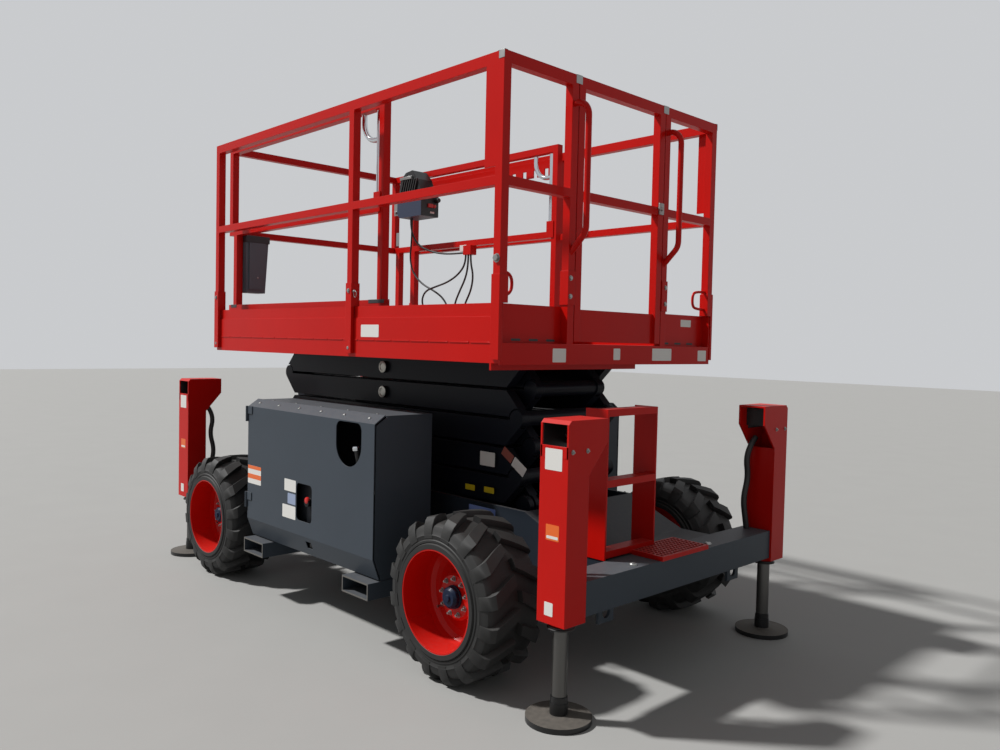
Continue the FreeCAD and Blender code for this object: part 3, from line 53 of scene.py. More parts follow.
def add(tree, kind, settings=None, **inputs):
    """A node with its settings; an input is a value, or an output socket of another node."""
    node = tree.nodes.new(kind)
    for name, value in (settings or {}).items():
        setattr(node, name, value)
    for name, value in inputs.items():
        socket = node.inputs[int(name[2:])] if name.startswith("i_") else node.inputs[name.replace("_", " ")]
        if isinstance(value, bpy.types.NodeSocket):
            tree.links.new(value, socket)
        else:
            socket.default_value = value
    return node


def finish_of(name, base, roughness, metallic=0.0, **sockets):
    """A material whose shader is ready; returns it with its tree, shader and object coordinates."""
    made = bpy.data.materials.new(name)
    made.use_nodes = True
    tree = made.node_tree
    shader = tree.nodes["Principled BSDF"]
    shader.inputs["Base Color"].default_value = base
    shader.inputs["Roughness"].default_value = roughness
    shader.inputs["Metallic"].default_value = metallic
    for socket, value in sockets.items():
        shader.inputs[socket.replace("_", " ")].default_value = value
    place = add(tree, "ShaderNodeTexCoord")
    return made, tree, shader, place.outputs["Object"]


CAMERA_PLACE = Vector((3.499, -2.924, 1.342))
CAMERA_YAW, CAMERA_PITCH, CAMERA_ROLL = math.radians(46.20), math.radians(-2.24), math.radians(1.26)
FOCAL_PIXELS, PHOTO_WIDTH, SENSOR = 840.9, 1000, 36.0

ahead = Vector((-math.sin(CAMERA_YAW) * math.cos(CAMERA_PITCH),
                math.cos(CAMERA_YAW) * math.cos(CAMERA_PITCH), math.sin(CAMERA_PITCH)))
level = ahead.cross(Vector((0, 0, 1))).normalized()
upright = level.cross(ahead)
right = math.cos(CAMERA_ROLL) * level + math.sin(CAMERA_ROLL) * upright
up = math.cos(CAMERA_ROLL) * upright - math.sin(CAMERA_ROLL) * level
lens = bpy.data.cameras.new("camera")
lens.sensor_width = SENSOR
lens.lens = FOCAL_PIXELS / PHOTO_WIDTH * SENSOR
camera = bpy.data.objects.new("camera", lens)
camera.matrix_world = Matrix.Translation(CAMERA_PLACE) @ Matrix((right, up, -ahead)).transposed().to_4x4()
bpy.context.scene.collection.objects.link(camera)
bpy.context.scene.camera = camera
bpy.context.scene.view_settings.view_transform = "Standard"

SUN_TOWARDS = Vector((0.50, 0.42, -0.75))
sun = bpy.data.objects.new("key", bpy.data.lights.new("key", "SUN"))
sun.data.energy = 4.4
sun.data.angle = math.radians(4)
sun.rotation_euler = SUN_TOWARDS.to_track_quat("-Z", "Y").to_euler()
bpy.context.scene.collection.objects.link(sun)

sky = bpy.data.worlds.new("sky")
sky.use_nodes = True
bpy.context.scene.world = sky
backdrop = sky.node_tree.nodes["Background"]
backdrop.inputs["Color"].default_value = paint("#F2F4F7")
rays = add(sky.node_tree, "ShaderNodeLightPath")
seen = add(sky.node_tree, "ShaderNodeMath", {"operation": "ADD"},
           i_0=rays.outputs["Is Camera Ray"], i_1=rays.outputs["Is Glossy Ray"])
seen = add(sky.node_tree, "ShaderNodeMath", {"operation": "ADD", "use_clamp": True},
           i_0=seen.outputs[0], i_1=rays.outputs["Is Transmission Ray"])
strength = add(sky.node_tree, "ShaderNodeMapRange", To_Min=0.26, To_Max=0.66, Value=seen.outputs[0])
sky.node_tree.links.new(strength.outputs[0], backdrop.inputs["Strength"])

concrete, tree, shader, where = finish_of("concrete_floor", paint("#9C9B98"), 0.75)
speckle = add(tree, "ShaderNodeTexNoise", Vector=where, Scale=3.0, Detail=8.0)
tone = add(tree, "ShaderNodeMapRange", Value=speckle.outputs["Fac"], To_Min=0.96, To_Max=1.02)
shade = add(tree, "ShaderNodeMix", {"data_type": "RGBA", "blend_type": "MULTIPLY"}, i_0=1.0,
            i_6=paint("#9C9B98"), i_7=tone.outputs[0])
tree.links.new(shade.outputs[2], shader.inputs["Base Color"])
floor_mesh = bpy.data.meshes.new("floor")
FLOOR = 30
floor_mesh.from_pydata([(x * FLOOR, y * FLOOR, 0) for x, y in ((-1, -1), (1, -1), (1, 1), (-1, 1))], [], [(0, 1, 2, 3)])
floor = bpy.data.objects.new("floor", floor_mesh)
floor.data.materials.append(concrete)
bpy.context.scene.collection.objects.link(floor)


# Rubber and moulded black parts: matt, faintly mottled, with grey dust that settles on what faces up.
# The grain is the spark-eroded texture of a mould, about 0.8 mm, drawn at 2 mm so that it shows.
def moulded(name, colour, rough=0.6, grain_mm=2.0, depth_mm=0.15, dust=0.25, dust_colour="#6E6A64"):
    made, tree, shader, where = finish_of(name, paint(colour), rough)
    cloud = add(tree, "ShaderNodeTexNoise", Vector=where, Scale=9.0, Detail=6.0)
    facing = add(tree, "ShaderNodeNewGeometry")
    apart = add(tree, "ShaderNodeSeparateXYZ", Vector=facing.outputs["Normal"])
    flat = add(tree, "ShaderNodeMapRange", Value=apart.outputs["Z"], From_Min=-0.2, From_Max=1.0,
               To_Min=0.02, To_Max=dust)
    settled = add(tree, "ShaderNodeMath", {"operation": "MULTIPLY"}, i_0=flat.outputs[0],
                  i_1=cloud.outputs["Fac"])
    dusty = add(tree, "ShaderNodeMix", {"data_type": "RGBA"}, i_0=settled.outputs[0], i_6=paint(colour),
                i_7=paint(dust_colour))
    tree.links.new(dusty.outputs[2], shader.inputs["Base Color"])
    grain = add(tree, "ShaderNodeTexVoronoi", Vector=where, Scale=1000 / grain_mm)
    raised = add(tree, "ShaderNodeBump", Strength=0.4, Distance=depth_mm / 1000, Height=grain.outputs["Distance"])
    tree.links.new(raised.outputs[0], shader.inputs["Normal"])
    return made


black_rubber = moulded("black_hose_rubber", "#141415", rough=0.55)

# The leads of the control box are rubber-covered control cable, 12 mm thick. One crosses to the clip on the
# extension's middle rail, and the others hang from there and from the box down to the deck.
CABLE = 0.012
DECK_TOP = 1.364
LEADS = {
    # name: the real length, and the route's points
    "sag": (0.637, [(-0.968, 0.512, 2.140), (-0.968, 0.512, 2.075), (-0.935, 0.532, 1.985),
                    (-0.850, 0.550, 1.935), (-0.730, 0.556, 1.906), (-0.600, 0.556, 1.894),
                    (-0.475, 0.556, 1.894)]),
    "drop": (1.006, [(-0.940, 0.500, 2.140), (-0.940, 0.500, 2.075), (-0.975, 0.525, 1.985),
                     (-1.015, 0.545, 1.890), (-0.990, 0.552, 1.790), (-0.890, 0.555, 1.712),
                     (-0.770, 0.555, 1.668), (-0.660, 0.552, 1.612), (-0.600, 0.548, 1.525),
                     (-0.590, 0.548, 1.440), (-0.590, 0.548, DECK_TOP)]),
    "loop_front": (0.785, [(-0.462, 0.556, 1.880), (-0.462, 0.556, 1.825), (-0.520, 0.548, 1.760),
                           (-0.610, 0.538, 1.715), (-0.720, 0.532, 1.690), (-0.830, 0.530, 1.665),
                           (-0.868, 0.532, 1.595), (-0.820, 0.536, 1.520), (-0.785, 0.538, 1.440),
                           (-0.785, 0.538, DECK_TOP)]),
    "loop_middle": (0.542, [(-0.438, 0.556, 1.880), (-0.438, 0.556, 1.815), (-0.455, 0.552, 1.735),
                            (-0.505, 0.548, 1.655), (-0.550, 0.546, 1.575), (-0.560, 0.546, 1.468),
                            (-0.560, 0.546, DECK_TOP)]),
    "loop_rear": (0.545, [(-0.415, 0.556, 1.880), (-0.415, 0.556, 1.830), (-0.388, 0.556, 1.750),
                          (-0.405, 0.556, 1.660), (-0.462, 0.556, 1.575), (-0.512, 0.556, 1.465),
                          (-0.512, 0.556, DECK_TOP)]),
}


def lead(name, route):
    curve = bpy.data.curves.new(f"lead_{name}", "CURVE")
    curve.dimensions = "3D"
    curve.bevel_depth = CABLE / 2
    curve.bevel_resolution = 3
    curve.resolution_u = 10
    spline = curve.splines.new("NURBS")
    spline.points.add(len(route) - 1)
    for point, place in zip(spline.points, route):
        point.co = (*place, 1.0)
    spline.order_u = 3
    spline.use_endpoint_u = True
    curve.materials.append(black_rubber)
    made = bpy.data.objects.new(f"lead_{name}", curve)
    bpy.context.scene.collection.objects.link(made)
    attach(made, "extension")
    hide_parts("control_cable")


for name, (length, route) in LEADS.items():
    lead(name, route)


# Powder coat on steel: the machine's sheet and tube, sprayed and baked, so it has a faint orange peel,
# a clear sheen and corners that the coat rounds. Dust dulls what faces up.
def coated(name, colour, rough=0.34, peel_mm=6, dust=0.16, dust_colour="#8A8178", sheen=0.05):
    made, tree, shader, where = finish_of(name, paint(colour), rough, Coat_Weight=sheen, Coat_Roughness=0.15,
                                          Specular_IOR_Level=0.12)
    cloud = add(tree, "ShaderNodeTexNoise", Vector=where, Scale=4.0, Detail=6.0, Roughness=0.6)
    shift = add(tree, "ShaderNodeMapRange", Value=cloud.outputs["Fac"], To_Min=0.88, To_Max=1.06)
    body = add(tree, "ShaderNodeMix", {"data_type": "RGBA", "blend_type": "MULTIPLY"}, i_0=1.0,
               i_6=paint(colour), i_7=shift.outputs[0])
    facing = add(tree, "ShaderNodeNewGeometry")
    apart = add(tree, "ShaderNodeSeparateXYZ", Vector=facing.outputs["Normal"])
    flat = add(tree, "ShaderNodeMapRange", Value=apart.outputs["Z"], From_Min=0.5, From_Max=1.0,
               To_Min=0.0, To_Max=dust)
    grit = add(tree, "ShaderNodeTexNoise", Vector=where, Scale=60.0, Detail=5.0)
    settled = add(tree, "ShaderNodeMath", {"operation": "MULTIPLY"}, i_0=flat.outputs[0],
                  i_1=grit.outputs["Fac"])
    dusty = add(tree, "ShaderNodeMix", {"data_type": "RGBA"}, i_0=settled.outputs[0], i_6=body.outputs[2],
                i_7=paint(dust_colour))
    tree.links.new(dusty.outputs[2], shader.inputs["Base Color"])
    duller = add(tree, "ShaderNodeMapRange", Value=settled.outputs[0], From_Max=dust,
                 To_Min=rough, To_Max=min(1.0, rough + 0.35))
    tree.links.new(duller.outputs[0], shader.inputs["Roughness"])
    peel = add(tree, "ShaderNodeTexNoise", Vector=where, Scale=1000 / peel_mm, Detail=1.0)
    soft = add(tree, "ShaderNodeBevel", {"samples": 4}, Radius=0.002)
    raised = add(tree, "ShaderNodeBump", Strength=0.06, Distance=0.0006, Height=peel.outputs["Fac"],
                 Normal=soft.outputs[0])
    tree.links.new(raised.outputs[0], shader.inputs["Normal"])
    return made


def dress(material, *nodes):
    """A CAD node keeps its shape and takes this finish."""
    for node in nodes:
        for material_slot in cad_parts[node].material_slots:
            material_slot.material = material


red_coat = coated("red_powder_coat", "#BC110A")
rim_coat = coated("red_rim_enamel", "#C4130A", rough=0.25, dust=0.10, sheen=0.12)
slate_coat = coated("slate_powder_coat", "#3F464E", rough=0.40, dust=0.30)
dark_coat = coated("midnight_powder_coat", "#12151D", rough=0.42, dust=0.30, dust_colour="#5C5A5C")
cast_coat = coated("painted_casting", "#17191D", rough=0.55, peel_mm=3)

dress(red_coat, "side_rails", "rear_rails", "gate", "latch_rack", "extension_rails", "extension_deck",
      "platform_deck", "outrigger_housings", "ladder")
dress(rim_coat, *[f"rim_{end}_{side}" for end in ("front", "rear") for side in ("left", "right")])
dress(slate_coat, "outrigger_beams", "cabinets", "door_left", "door_right", "fork_pockets")
tray_coat = coated("tray_powder_coat", "#2A3038", rough=0.40, dust=0.30)
dress(tray_coat, "chassis_frame")
dress(dark_coat, "axles", *[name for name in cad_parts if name.startswith("scissor_")])
dress(cast_coat, "knuckle_left", "knuckle_right", "steer_cylinder", "machinery", "control_panel",
      "lift_barrel_lower", "lift_barrel_upper")


# Plated steel: fasteners and leg tubes are zinc plated, dull and cloudy; rods and grips are hard chrome,
# a mirror with fine scratches round the bar, drawn 1 mm apart so that they show.
def plated(name, colour, rough, cloud_mm=40, spread=0.12):
    made, tree, shader, where = finish_of(name, paint(colour), rough, metallic=1.0)
    cloud = add(tree, "ShaderNodeTexNoise", Vector=where, Scale=1000 / cloud_mm, Detail=5.0)
    uneven = add(tree, "ShaderNodeMapRange", Value=cloud.outputs["Fac"], To_Min=max(0.02, rough - spread),
                 To_Max=rough + spread)
    tree.links.new(uneven.outputs[0], shader.inputs["Roughness"])
    scratch = add(tree, "ShaderNodeTexNoise", Vector=where, Scale=1000, Detail=1.0)
    raised = add(tree, "ShaderNodeBump", Strength=0.1, Distance=0.00005, Height=scratch.outputs["Fac"])
    tree.links.new(raised.outputs[0], shader.inputs["Normal"])
    return made


zinc_plate = plated("zinc_plate", "#9A9A98", 0.42)
hard_chrome = plated("hard_chrome", "#D4D8DC", 0.09, spread=0.04)
dress(hard_chrome, "push_handles", "lift_rod_lower", "lift_rod_upper", "steer_rod")

# The outrigger legs are turned steel tube. The ball joint above the pad is greased and black, and the pad's
# top is dull with dried mud, while its rim is bare and dark.
leg_steel, tree, shader, where = finish_of("turned_leg_steel", paint("#6F6E6C"), 0.36)
PAD_TOP, JOINT_TOP = 0.0265, 0.092
height = add(tree, "ShaderNodeSeparateXYZ", Vector=where).outputs["Z"]
facing = add(tree, "ShaderNodeNewGeometry")
turned_up = add(tree, "ShaderNodeSeparateXYZ", Vector=facing.outputs["Normal"]).outputs["Z"]
on_tube = add(tree, "ShaderNodeMath", {"operation": "GREATER_THAN"}, i_0=height, i_1=JOINT_TOP)
on_pad = add(tree, "ShaderNodeMath", {"operation": "LESS_THAN"}, i_0=height, i_1=0.044)
level_top = add(tree, "ShaderNodeMath", {"operation": "GREATER_THAN"}, i_0=turned_up, i_1=0.5)
muddy = add(tree, "ShaderNodeMath", {"operation": "MULTIPLY"}, i_0=on_pad.outputs[0], i_1=level_top.outputs[0])
mud = add(tree, "ShaderNodeTexNoise", Vector=where, Scale=45.0, Detail=7.0)
cover = add(tree, "ShaderNodeMapRange", Value=mud.outputs["Fac"], From_Min=0.3, From_Max=0.7, To_Min=0.65)
crust = add(tree, "ShaderNodeMath", {"operation": "MULTIPLY"}, i_0=muddy.outputs[0], i_1=cover.outputs[0])
steel = add(tree, "ShaderNodeMix", {"data_type": "RGBA"}, i_0=on_tube.outputs[0], i_6=paint("#111112"),
            i_7=paint("#62615F"))
earth = add(tree, "ShaderNodeMix", {"data_type": "RGBA"}, i_0=crust.outputs[0], i_6=steel.outputs[2],
            i_7=paint("#5A544D"))
tree.links.new(earth.outputs[2], shader.inputs["Base Color"])
bare = add(tree, "ShaderNodeMath", {"operation": "MULTIPLY"}, i_0=on_tube.outputs[0], i_1=0.9)
tree.links.new(bare.outputs[0], shader.inputs["Metallic"])
dull = add(tree, "ShaderNodeMapRange", Value=crust.outputs[0], To_Min=0.34, To_Max=0.9)
tree.links.new(dull.outputs[0], shader.inputs["Roughness"])
dress(leg_steel, *[f"leg_{end}_{side}" for end in ("front", "rear") for side in ("left", "right")])


worn_steel = plated("worn_bare_steel", "#7E7C78", 0.5)

# Mesh tools for the trim: each adds one form to a mesh that form() then closes into a piece.
def brick(mesh, low, high):
    """A rectangular solid between two corners."""
    corners = [mesh.verts.new((x, y, z)) for x in (low[0], high[0]) for y in (low[1], high[1])
               for z in (low[2], high[2])]
    for face in ((0, 1, 3, 2), (4, 6, 7, 5), (0, 4, 5, 1), (2, 3, 7, 6), (0, 2, 6, 4), (1, 5, 7, 3)):
        mesh.faces.new([corners[i] for i in face])


def turned(mesh, centre, axis, profile, steps=32):
    """A solid of revolution: points of the profile are (radius, distance along the axis)."""
    place = Matrix.Translation(Vector(centre)) @ Vector(axis).to_track_quat("Z", "Y").to_matrix().to_4x4()
    rings = []
    for step in range(steps):
        angle = 2 * math.pi * step / steps
        rings.append([mesh.verts.new(place @ Vector((r * math.cos(angle), r * math.sin(angle), a)))
                      for r, a in profile])
    for ring, following in zip(rings, [*rings[1:], rings[0]]):
        for i in range(len(profile) - 1):
            mesh.faces.new((ring[i], following[i], following[i + 1], ring[i + 1]))
    mesh.faces.new([ring[0] for ring in reversed(rings)])
    mesh.faces.new([ring[-1] for ring in rings])


def bolt(mesh, centre, axis, radius, height, washer=0.0012):
    """A hexagon head with a chamfered crown on a washer; centre is the point on the sheet."""
    turned(mesh, centre, axis, [(radius * 1.25, 0), (radius * 1.25, washer)], 20)
    turned(mesh, centre, axis, [(radius, washer), (radius, height * 0.8), (radius * 0.86, height)], 6)


def screw(mesh, centre, axis, radius, height):
    """A low round head, crowned, with its recess."""
    turned(mesh, centre, axis, [(radius, 0), (radius * 0.95, height * 0.5), (radius * 0.7, height * 0.9),
                                (radius * 0.35, height), (radius * 0.3, height * 0.55)], 20)


def plaque(mesh, centre, across, upward, width, height, thickness=0.0012, corner=0.004):
    """A thin plate with round corners, lying on a sheet: centre is on the sheet, and out is across x upward."""
    across, upward = Vector(across).normalized(), Vector(upward).normalized()
    out = across.cross(upward)
    rim = []
    for sx, sy, start in ((1, 1, 0), (-1, 1, 90), (-1, -1, 180), (1, -1, 270)):
        for turn in (0, 30, 60, 90):
            angle = math.radians(start + turn)
            rim.append(Vector(centre) + across * (sx * (width / 2 - corner) + corner * math.cos(angle))
                       + upward * (sy * (height / 2 - corner) + corner * math.sin(angle)))
    low = [mesh.verts.new(point) for point in rim]
    high = [mesh.verts.new(point + out * thickness) for point in rim]
    mesh.faces.new(low[::-1])
    mesh.faces.new(high)
    for i in range(len(rim)):
        j = (i + 1) % len(rim)
        mesh.faces.new((low[i], low[j], high[j], high[i]))


def form(name, mesh, material, body, edge=0.0):
    """Closes a mesh into a piece of that finish, which rides on a body; edge rounds its corners."""
    bmesh.ops.recalc_face_normals(mesh, faces=mesh.faces)
    data = bpy.data.meshes.new(name)
    mesh.to_mesh(data)
    mesh.free()
    data.materials.append(material)
    made = bpy.data.objects.new(name, data)
    bpy.context.scene.collection.objects.link(made)
    if edge:
        rounding = made.modifiers.new("rounding", "BEVEL")
        rounding.width = edge
        rounding.segments = 2
        rounding.limit_method = "ANGLE"
    data.shade_smooth()
    data.set_sharp_from_angle(angle=math.radians(32))
    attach(made, body)
    return made


# The tyres are filled industrial lug tyres: a plain casing with moulded ribs, a rim guard, and two rows of
# slanted bars that run out over the shoulders. Their rubber is matt black, with ground dust on the bars.
tyre_rubber = moulded("tyre_rubber", "#0E0E0E", rough=0.66, grain_mm=2.5, depth_mm=0.25, dust=0.26,
                      dust_colour="#5A5650")
TYRE_R, LUG_H, TYRE_W, BEAD, GUARD_IN, LUGS = 0.330, 0.028, 0.297, 0.2185, 0.2025, 16
LUG_LEAN, LUG_WIDE, LUG_NARROW = 0.066, 0.058, 0.042
WHEELS = {(end, side): ((1.009 if end == "rear" else -1.009), (-0.712 if side == "left" else 0.712))
          for end in ("front", "rear") for side in ("left", "right")}


def tread_bar(mesh, start, row, turn_way):
    """One bar: a crowned block that starts near the middle and runs out and down over the shoulder."""
    half = TYRE_W / 2
    path = [  # distance from the middle, height of the bar's top, share of the lean left
        (0.009, TYRE_R, 1.0), (0.045, TYRE_R + 0.0, 0.72), (0.085, TYRE_R - 0.001, 0.36),
        (0.118, TYRE_R - 0.004, 0.06), (0.132, TYRE_R - 0.016, 0.0), (0.141, TYRE_R - 0.034, 0.0),
        (half - 0.001, TYRE_R - 0.062, 0.0)]
    rows = []
    for along, top, left in path:
        share = min(1.0, along / 0.11)
        width = LUG_NARROW + (LUG_WIDE - LUG_NARROW) * share
        middle = start + turn_way * left * LUG_LEAN / TYRE_R
        root = min(top - 0.004, TYRE_R - LUG_H - 0.006) if along < 0.12 else 0.245
        station = []
        for offset, height in ((-0.5 - 0.05, root), (-0.5, top - 0.003), (-0.46, top), (0.46, top),
                               (0.5, top - 0.003), (0.5 + 0.05, root)):
            angle = middle + offset * width / TYRE_R
            station.append(mesh.verts.new((height * math.cos(angle), row * along, height * math.sin(angle))))
        rows.append(station)
    for station, following in zip(rows, rows[1:]):
        for i in range(6):
            j = (i + 1) % 6
            mesh.faces.new((station[i], station[j], following[j], following[i]))
    mesh.faces.new(rows[0][::-1])
    mesh.faces.new(rows[-1])


def tyre(end, side):
    mesh = bmesh.new()
    half, crown = TYRE_W / 2, TYRE_R - LUG_H
    flange = half + 0.0037
    profile = [(BEAD - 0.010, half - 0.006), (BEAD + 0.0005, half - 0.004), (BEAD + 0.0005, flange),
               (GUARD_IN, flange), (GUARD_IN + 0.001, flange + 0.0014), (BEAD + 0.003, flange + 0.0014),
               (BEAD + 0.007, half - 0.0035), (BEAD + 0.010, half - 0.0005), (BEAD + 0.018, half - 0.0005),
               (BEAD + 0.021, half - 0.004),
               (BEAD + 0.034, half - 0.002), (BEAD + 0.038, half - 0.0005), (BEAD + 0.042, half - 0.0035),
               (0.275, half - 0.006), (0.290, half - 0.013), (crown - 0.004, half - 0.026),
               (crown, half - 0.040), (crown + 0.0005, 0.05), (crown + 0.001, 0.0)]
    profile += [(radius, -along) for radius, along in reversed(profile[:-1])]
    steps = 120
    rings = [[mesh.verts.new((radius * math.cos(2 * math.pi * k / steps), along,
                              radius * math.sin(2 * math.pi * k / steps))) for radius, along in profile]
             for k in range(steps)]
    for ring, following in zip(rings, [*rings[1:], rings[0]]):
        for i in range(len(profile)):
            j = (i + 1) % len(profile)
            mesh.faces.new((ring[i], following[i], following[j], ring[j]))
    pitch = 2 * math.pi / LUGS
    hand = -1 if side == "left" else 1
    for row in (-1, 1):
        for index in range(LUGS):
            start = (index + (row * hand + 1) / 4) * pitch - math.pi / 2
            tread_bar(mesh, start, row, 1)
    x, y = WHEELS[end, side]
    bmesh.ops.translate(mesh, verts=mesh.verts, vec=(x, y, TYRE_R))
    made = form(f"lug_tyre_{end}_{side}", mesh, tyre_rubber, f"wheel_{end}_{side}")
    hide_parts(f"tyre_{end}_{side}")


for end, side in WHEELS:
    tyre(end, side)


# Wheel nuts, the valve and the hub cap's plug sit in the dish of each rim. Nuts are zinc plated, and the
# hub's face is the dark blue-grey of the wheel motor that it belongs to.
hub_coat = coated("hub_enamel", "#18243A", rough=0.38, dust=0.12)
NUTS, NUT_CIRCLE, NUT_R, NUT_H = 9, 0.072, 0.0085, 0.009
# how far the faces of the hub, of its cap and of the dish lie outboard of the wheel's middle
NUT_FACE, CAP_FACE, DISH_FACE = 0.048, 0.082, -0.008


def wheel_trim(end, side):
    x, y = WHEELS[end, side]
    out = -1 if side == "left" else 1
    steel, hub = bmesh.new(), bmesh.new()
    for k in range(NUTS):
        angle = 2 * math.pi * (k + 0.3) / NUTS
        at = (x + NUT_CIRCLE * math.cos(angle), y + out * NUT_FACE, TYRE_R + NUT_CIRCLE * math.sin(angle))
        bolt(steel, at, (0, out, 0), NUT_R, NUT_H, 0.002)
        turned(steel, (at[0], at[1] + out * NUT_H, at[2]), (0, out, 0), [(0.0045, -0.002), (0.0045, 0.007)], 12)
    valve = (x - 0.130, y + out * (DISH_FACE - 0.002), TYRE_R - 0.075)
    turned(steel, valve, (0, out, 0), [(0.012, 0), (0.012, 0.003), (0.008, 0.006), (0.0045, 0.010),
                                       (0.0045, 0.026), (0.0055, 0.027), (0.0055, 0.036)], 16)
    form(f"wheel_nuts_{end}_{side}", steel, zinc_plate, f"wheel_{end}_{side}")
    turned(hub, (x, y + out * CAP_FACE, TYRE_R), (0, out, 0),
           [(0.0465, -0.0335), (0.0465, -0.027), (0.0428, -0.025), (0.0428, -0.009), (0.0325, 0.0008),
            (0.015, 0.0008), (0.013, 0.007), (0.006, 0.0075)], 40)
    form(f"hub_plug_{end}_{side}", hub, hub_coat, f"wheel_{end}_{side}")


for end, side in WHEELS:
    wheel_trim(end, side)


# The outrigger columns are folded sheet: a sill closes the foot of each hood's mouth, a clevis pin holds the
# cylinder's head inside it, bolts fix the hood, and a black flange ring guides the leg. A black block and black
# strips line each mouth as painted shade, for its dark inside. Stickers are bare.
black_plastic = moulded("black_abs", "#121314", rough=0.5, dust=0.18)
white_vinyl = moulded("white_vinyl", "#D9D7D2", rough=0.35, grain_mm=1.5, depth_mm=0.03, dust=0.06)
orange_vinyl = moulded("orange_vinyl", "#E0641C", rough=0.35, grain_mm=1.5, depth_mm=0.03, dust=0.06)
yellow_vinyl = moulded("yellow_vinyl", "#D8BE1E", rough=0.35, grain_mm=1.5, depth_mm=0.03, dust=0.06)
blue_vinyl = moulded("pale_blue_vinyl", "#8C99B4", rough=0.35, grain_mm=1.5, depth_mm=0.03, dust=0.06)
COLUMN_X, COLUMN_FACE, COLUMN_IN, COLUMN_LOW, MOUTH_LOW, MOUTH_TOP = 1.533, 0.769, 0.6565, 0.356, 0.945, 1.063
COLUMN_HALF, SILL, SILL_TOP, HEAD_Y, FOOT_RING = 0.066, 0.004, 0.986, 0.645, 0.3325
RING = [(0.0385, 0.000), (0.050, 0.000), (0.050, 0.005), (0.045, 0.007), (0.045, 0.011), (0.0385, 0.011)]


def column_trim(end, side):
    e, s = (1 if end == "rear" else -1), (1 if side == "right" else -1)
    x, face = e * COLUMN_X, s * COLUMN_FACE
    sill, dark, steel = bmesh.new(), bmesh.new(), bmesh.new()
    out, back = face, s * (COLUMN_FACE - SILL)
    brick(sill, (x - COLUMN_HALF + 0.0005, min(out, back), MOUTH_LOW - 0.002),
          (x + COLUMN_HALF - 0.0005, max(out, back), SILL_TOP))
    form(f"mouth_sill_{end}_{side}", sill, red_coat, "chassis", 0.001)
    leg, inboard = s * (COLUMN_FACE + COLUMN_IN) / 2, s * HEAD_Y
    # painted shade: a black block at the back of the mouth and black strips along its side walls darken the hood's
    # inside
    brick(dark, (x - 0.058, min(s * 0.616, s * 0.650), 0.982), (x + 0.058, max(s * 0.616, s * 0.650), 1.062))
    for low_x, high_x in ((-0.0583, -0.0563), (0.0563, 0.0583)):
        brick(dark, (x + low_x, min(s * 0.630, s * 0.764), SILL_TOP - 0.020),
              (x + high_x, max(s * 0.630, s * 0.764), 1.062))
    turned(dark, (x, inboard, 0.985), (0, 0, 1), [(0.020, 0), (0.022, 0.006), (0.022, 0.054), (0.018, 0.062)], 28)
    turned(dark, (x, leg, FOOT_RING), (0, 0, 1), RING, 36)
    form(f"column_blacks_{end}_{side}", dark, black_plastic, "chassis", 0.0008)
    turned(steel, (x - COLUMN_HALF + 0.003, inboard, 1.012), (1, 0, 0),
           [(0.009, 0), (0.009, 2 * COLUMN_HALF - 0.006)], 20)
    for y in (0.746, 0.668):
        bolt(steel, (x + e * COLUMN_HALF, s * y, 0.968), (e, 0, 0), 0.007, 0.005)
        turned(steel, (x + e * (COLUMN_HALF + 0.005), s * y, 0.968), (e, 0, 0), [(0.003, -0.001), (0.003, 0.004)], 10)
    form(f"hood_bolts_{end}_{side}", steel, zinc_plate, "chassis")


for end in ("front", "rear"):
    for side in ("left", "right"):
        column_trim(end, side)

STICKERS = (  # material, dx from the column's middle, z, width, height
    (white_vinyl, -0.002, 0.938, 0.080, 0.076), (orange_vinyl, 0.000, 0.681, 0.062, 0.056),
    (white_vinyl, 0.000, 0.664, 0.054, 0.010), (white_vinyl, -0.010, 0.409, 0.040, 0.048))
for end, e in (("front", -1), ("rear", 1)):
    for index, (vinyl, dx, z, width, height) in enumerate(STICKERS):
        mesh = bmesh.new()
        proud = 0.0005 if index == 2 else 0.0
        plaque(mesh, (e * COLUMN_X + dx, -COLUMN_FACE - proud, z), (1, 0, 0), (0, 0, 1), width, height, 0.0006, 0.003)
        form(f"bare_sticker_{end}_{index}", mesh, vinyl, "chassis")


# The step plate is punched for grip: rows of raised round holes, about 20 mm apart. The ladder's foot is
# bolted to the beam, and a big round-headed bolt holds the gusset beside it.
perforated = coated("punched_step_coat", "#8E1A14", rough=0.5, dust=0.45)
step_low, step_high = Vector((1.42, -0.200, 0)), Vector((1.60, 0.125, 0.515))
mesh = bmesh.new()
for row in range(8):
    for column in range(15):
        at = (step_low.x + 0.018 + 0.0206 * row, step_low.y + 0.02 + 0.0204 * column, 0.516)
        turned(mesh, at, (0, 0, 1), [(0.0072, 0.0), (0.0052, 0.0022), (0.0040, 0.0022), (0.0036, 0.0004)], 12)
form("step_punchings", mesh, perforated, "chassis")
mesh = bmesh.new()
for x, y in ((1.555, -0.33), (1.55, 0.20)):
    screw(mesh, (x, y, 0.498), (0, 0, 1), 0.016, 0.009)
form("beam_studs", mesh, zinc_plate, "chassis")


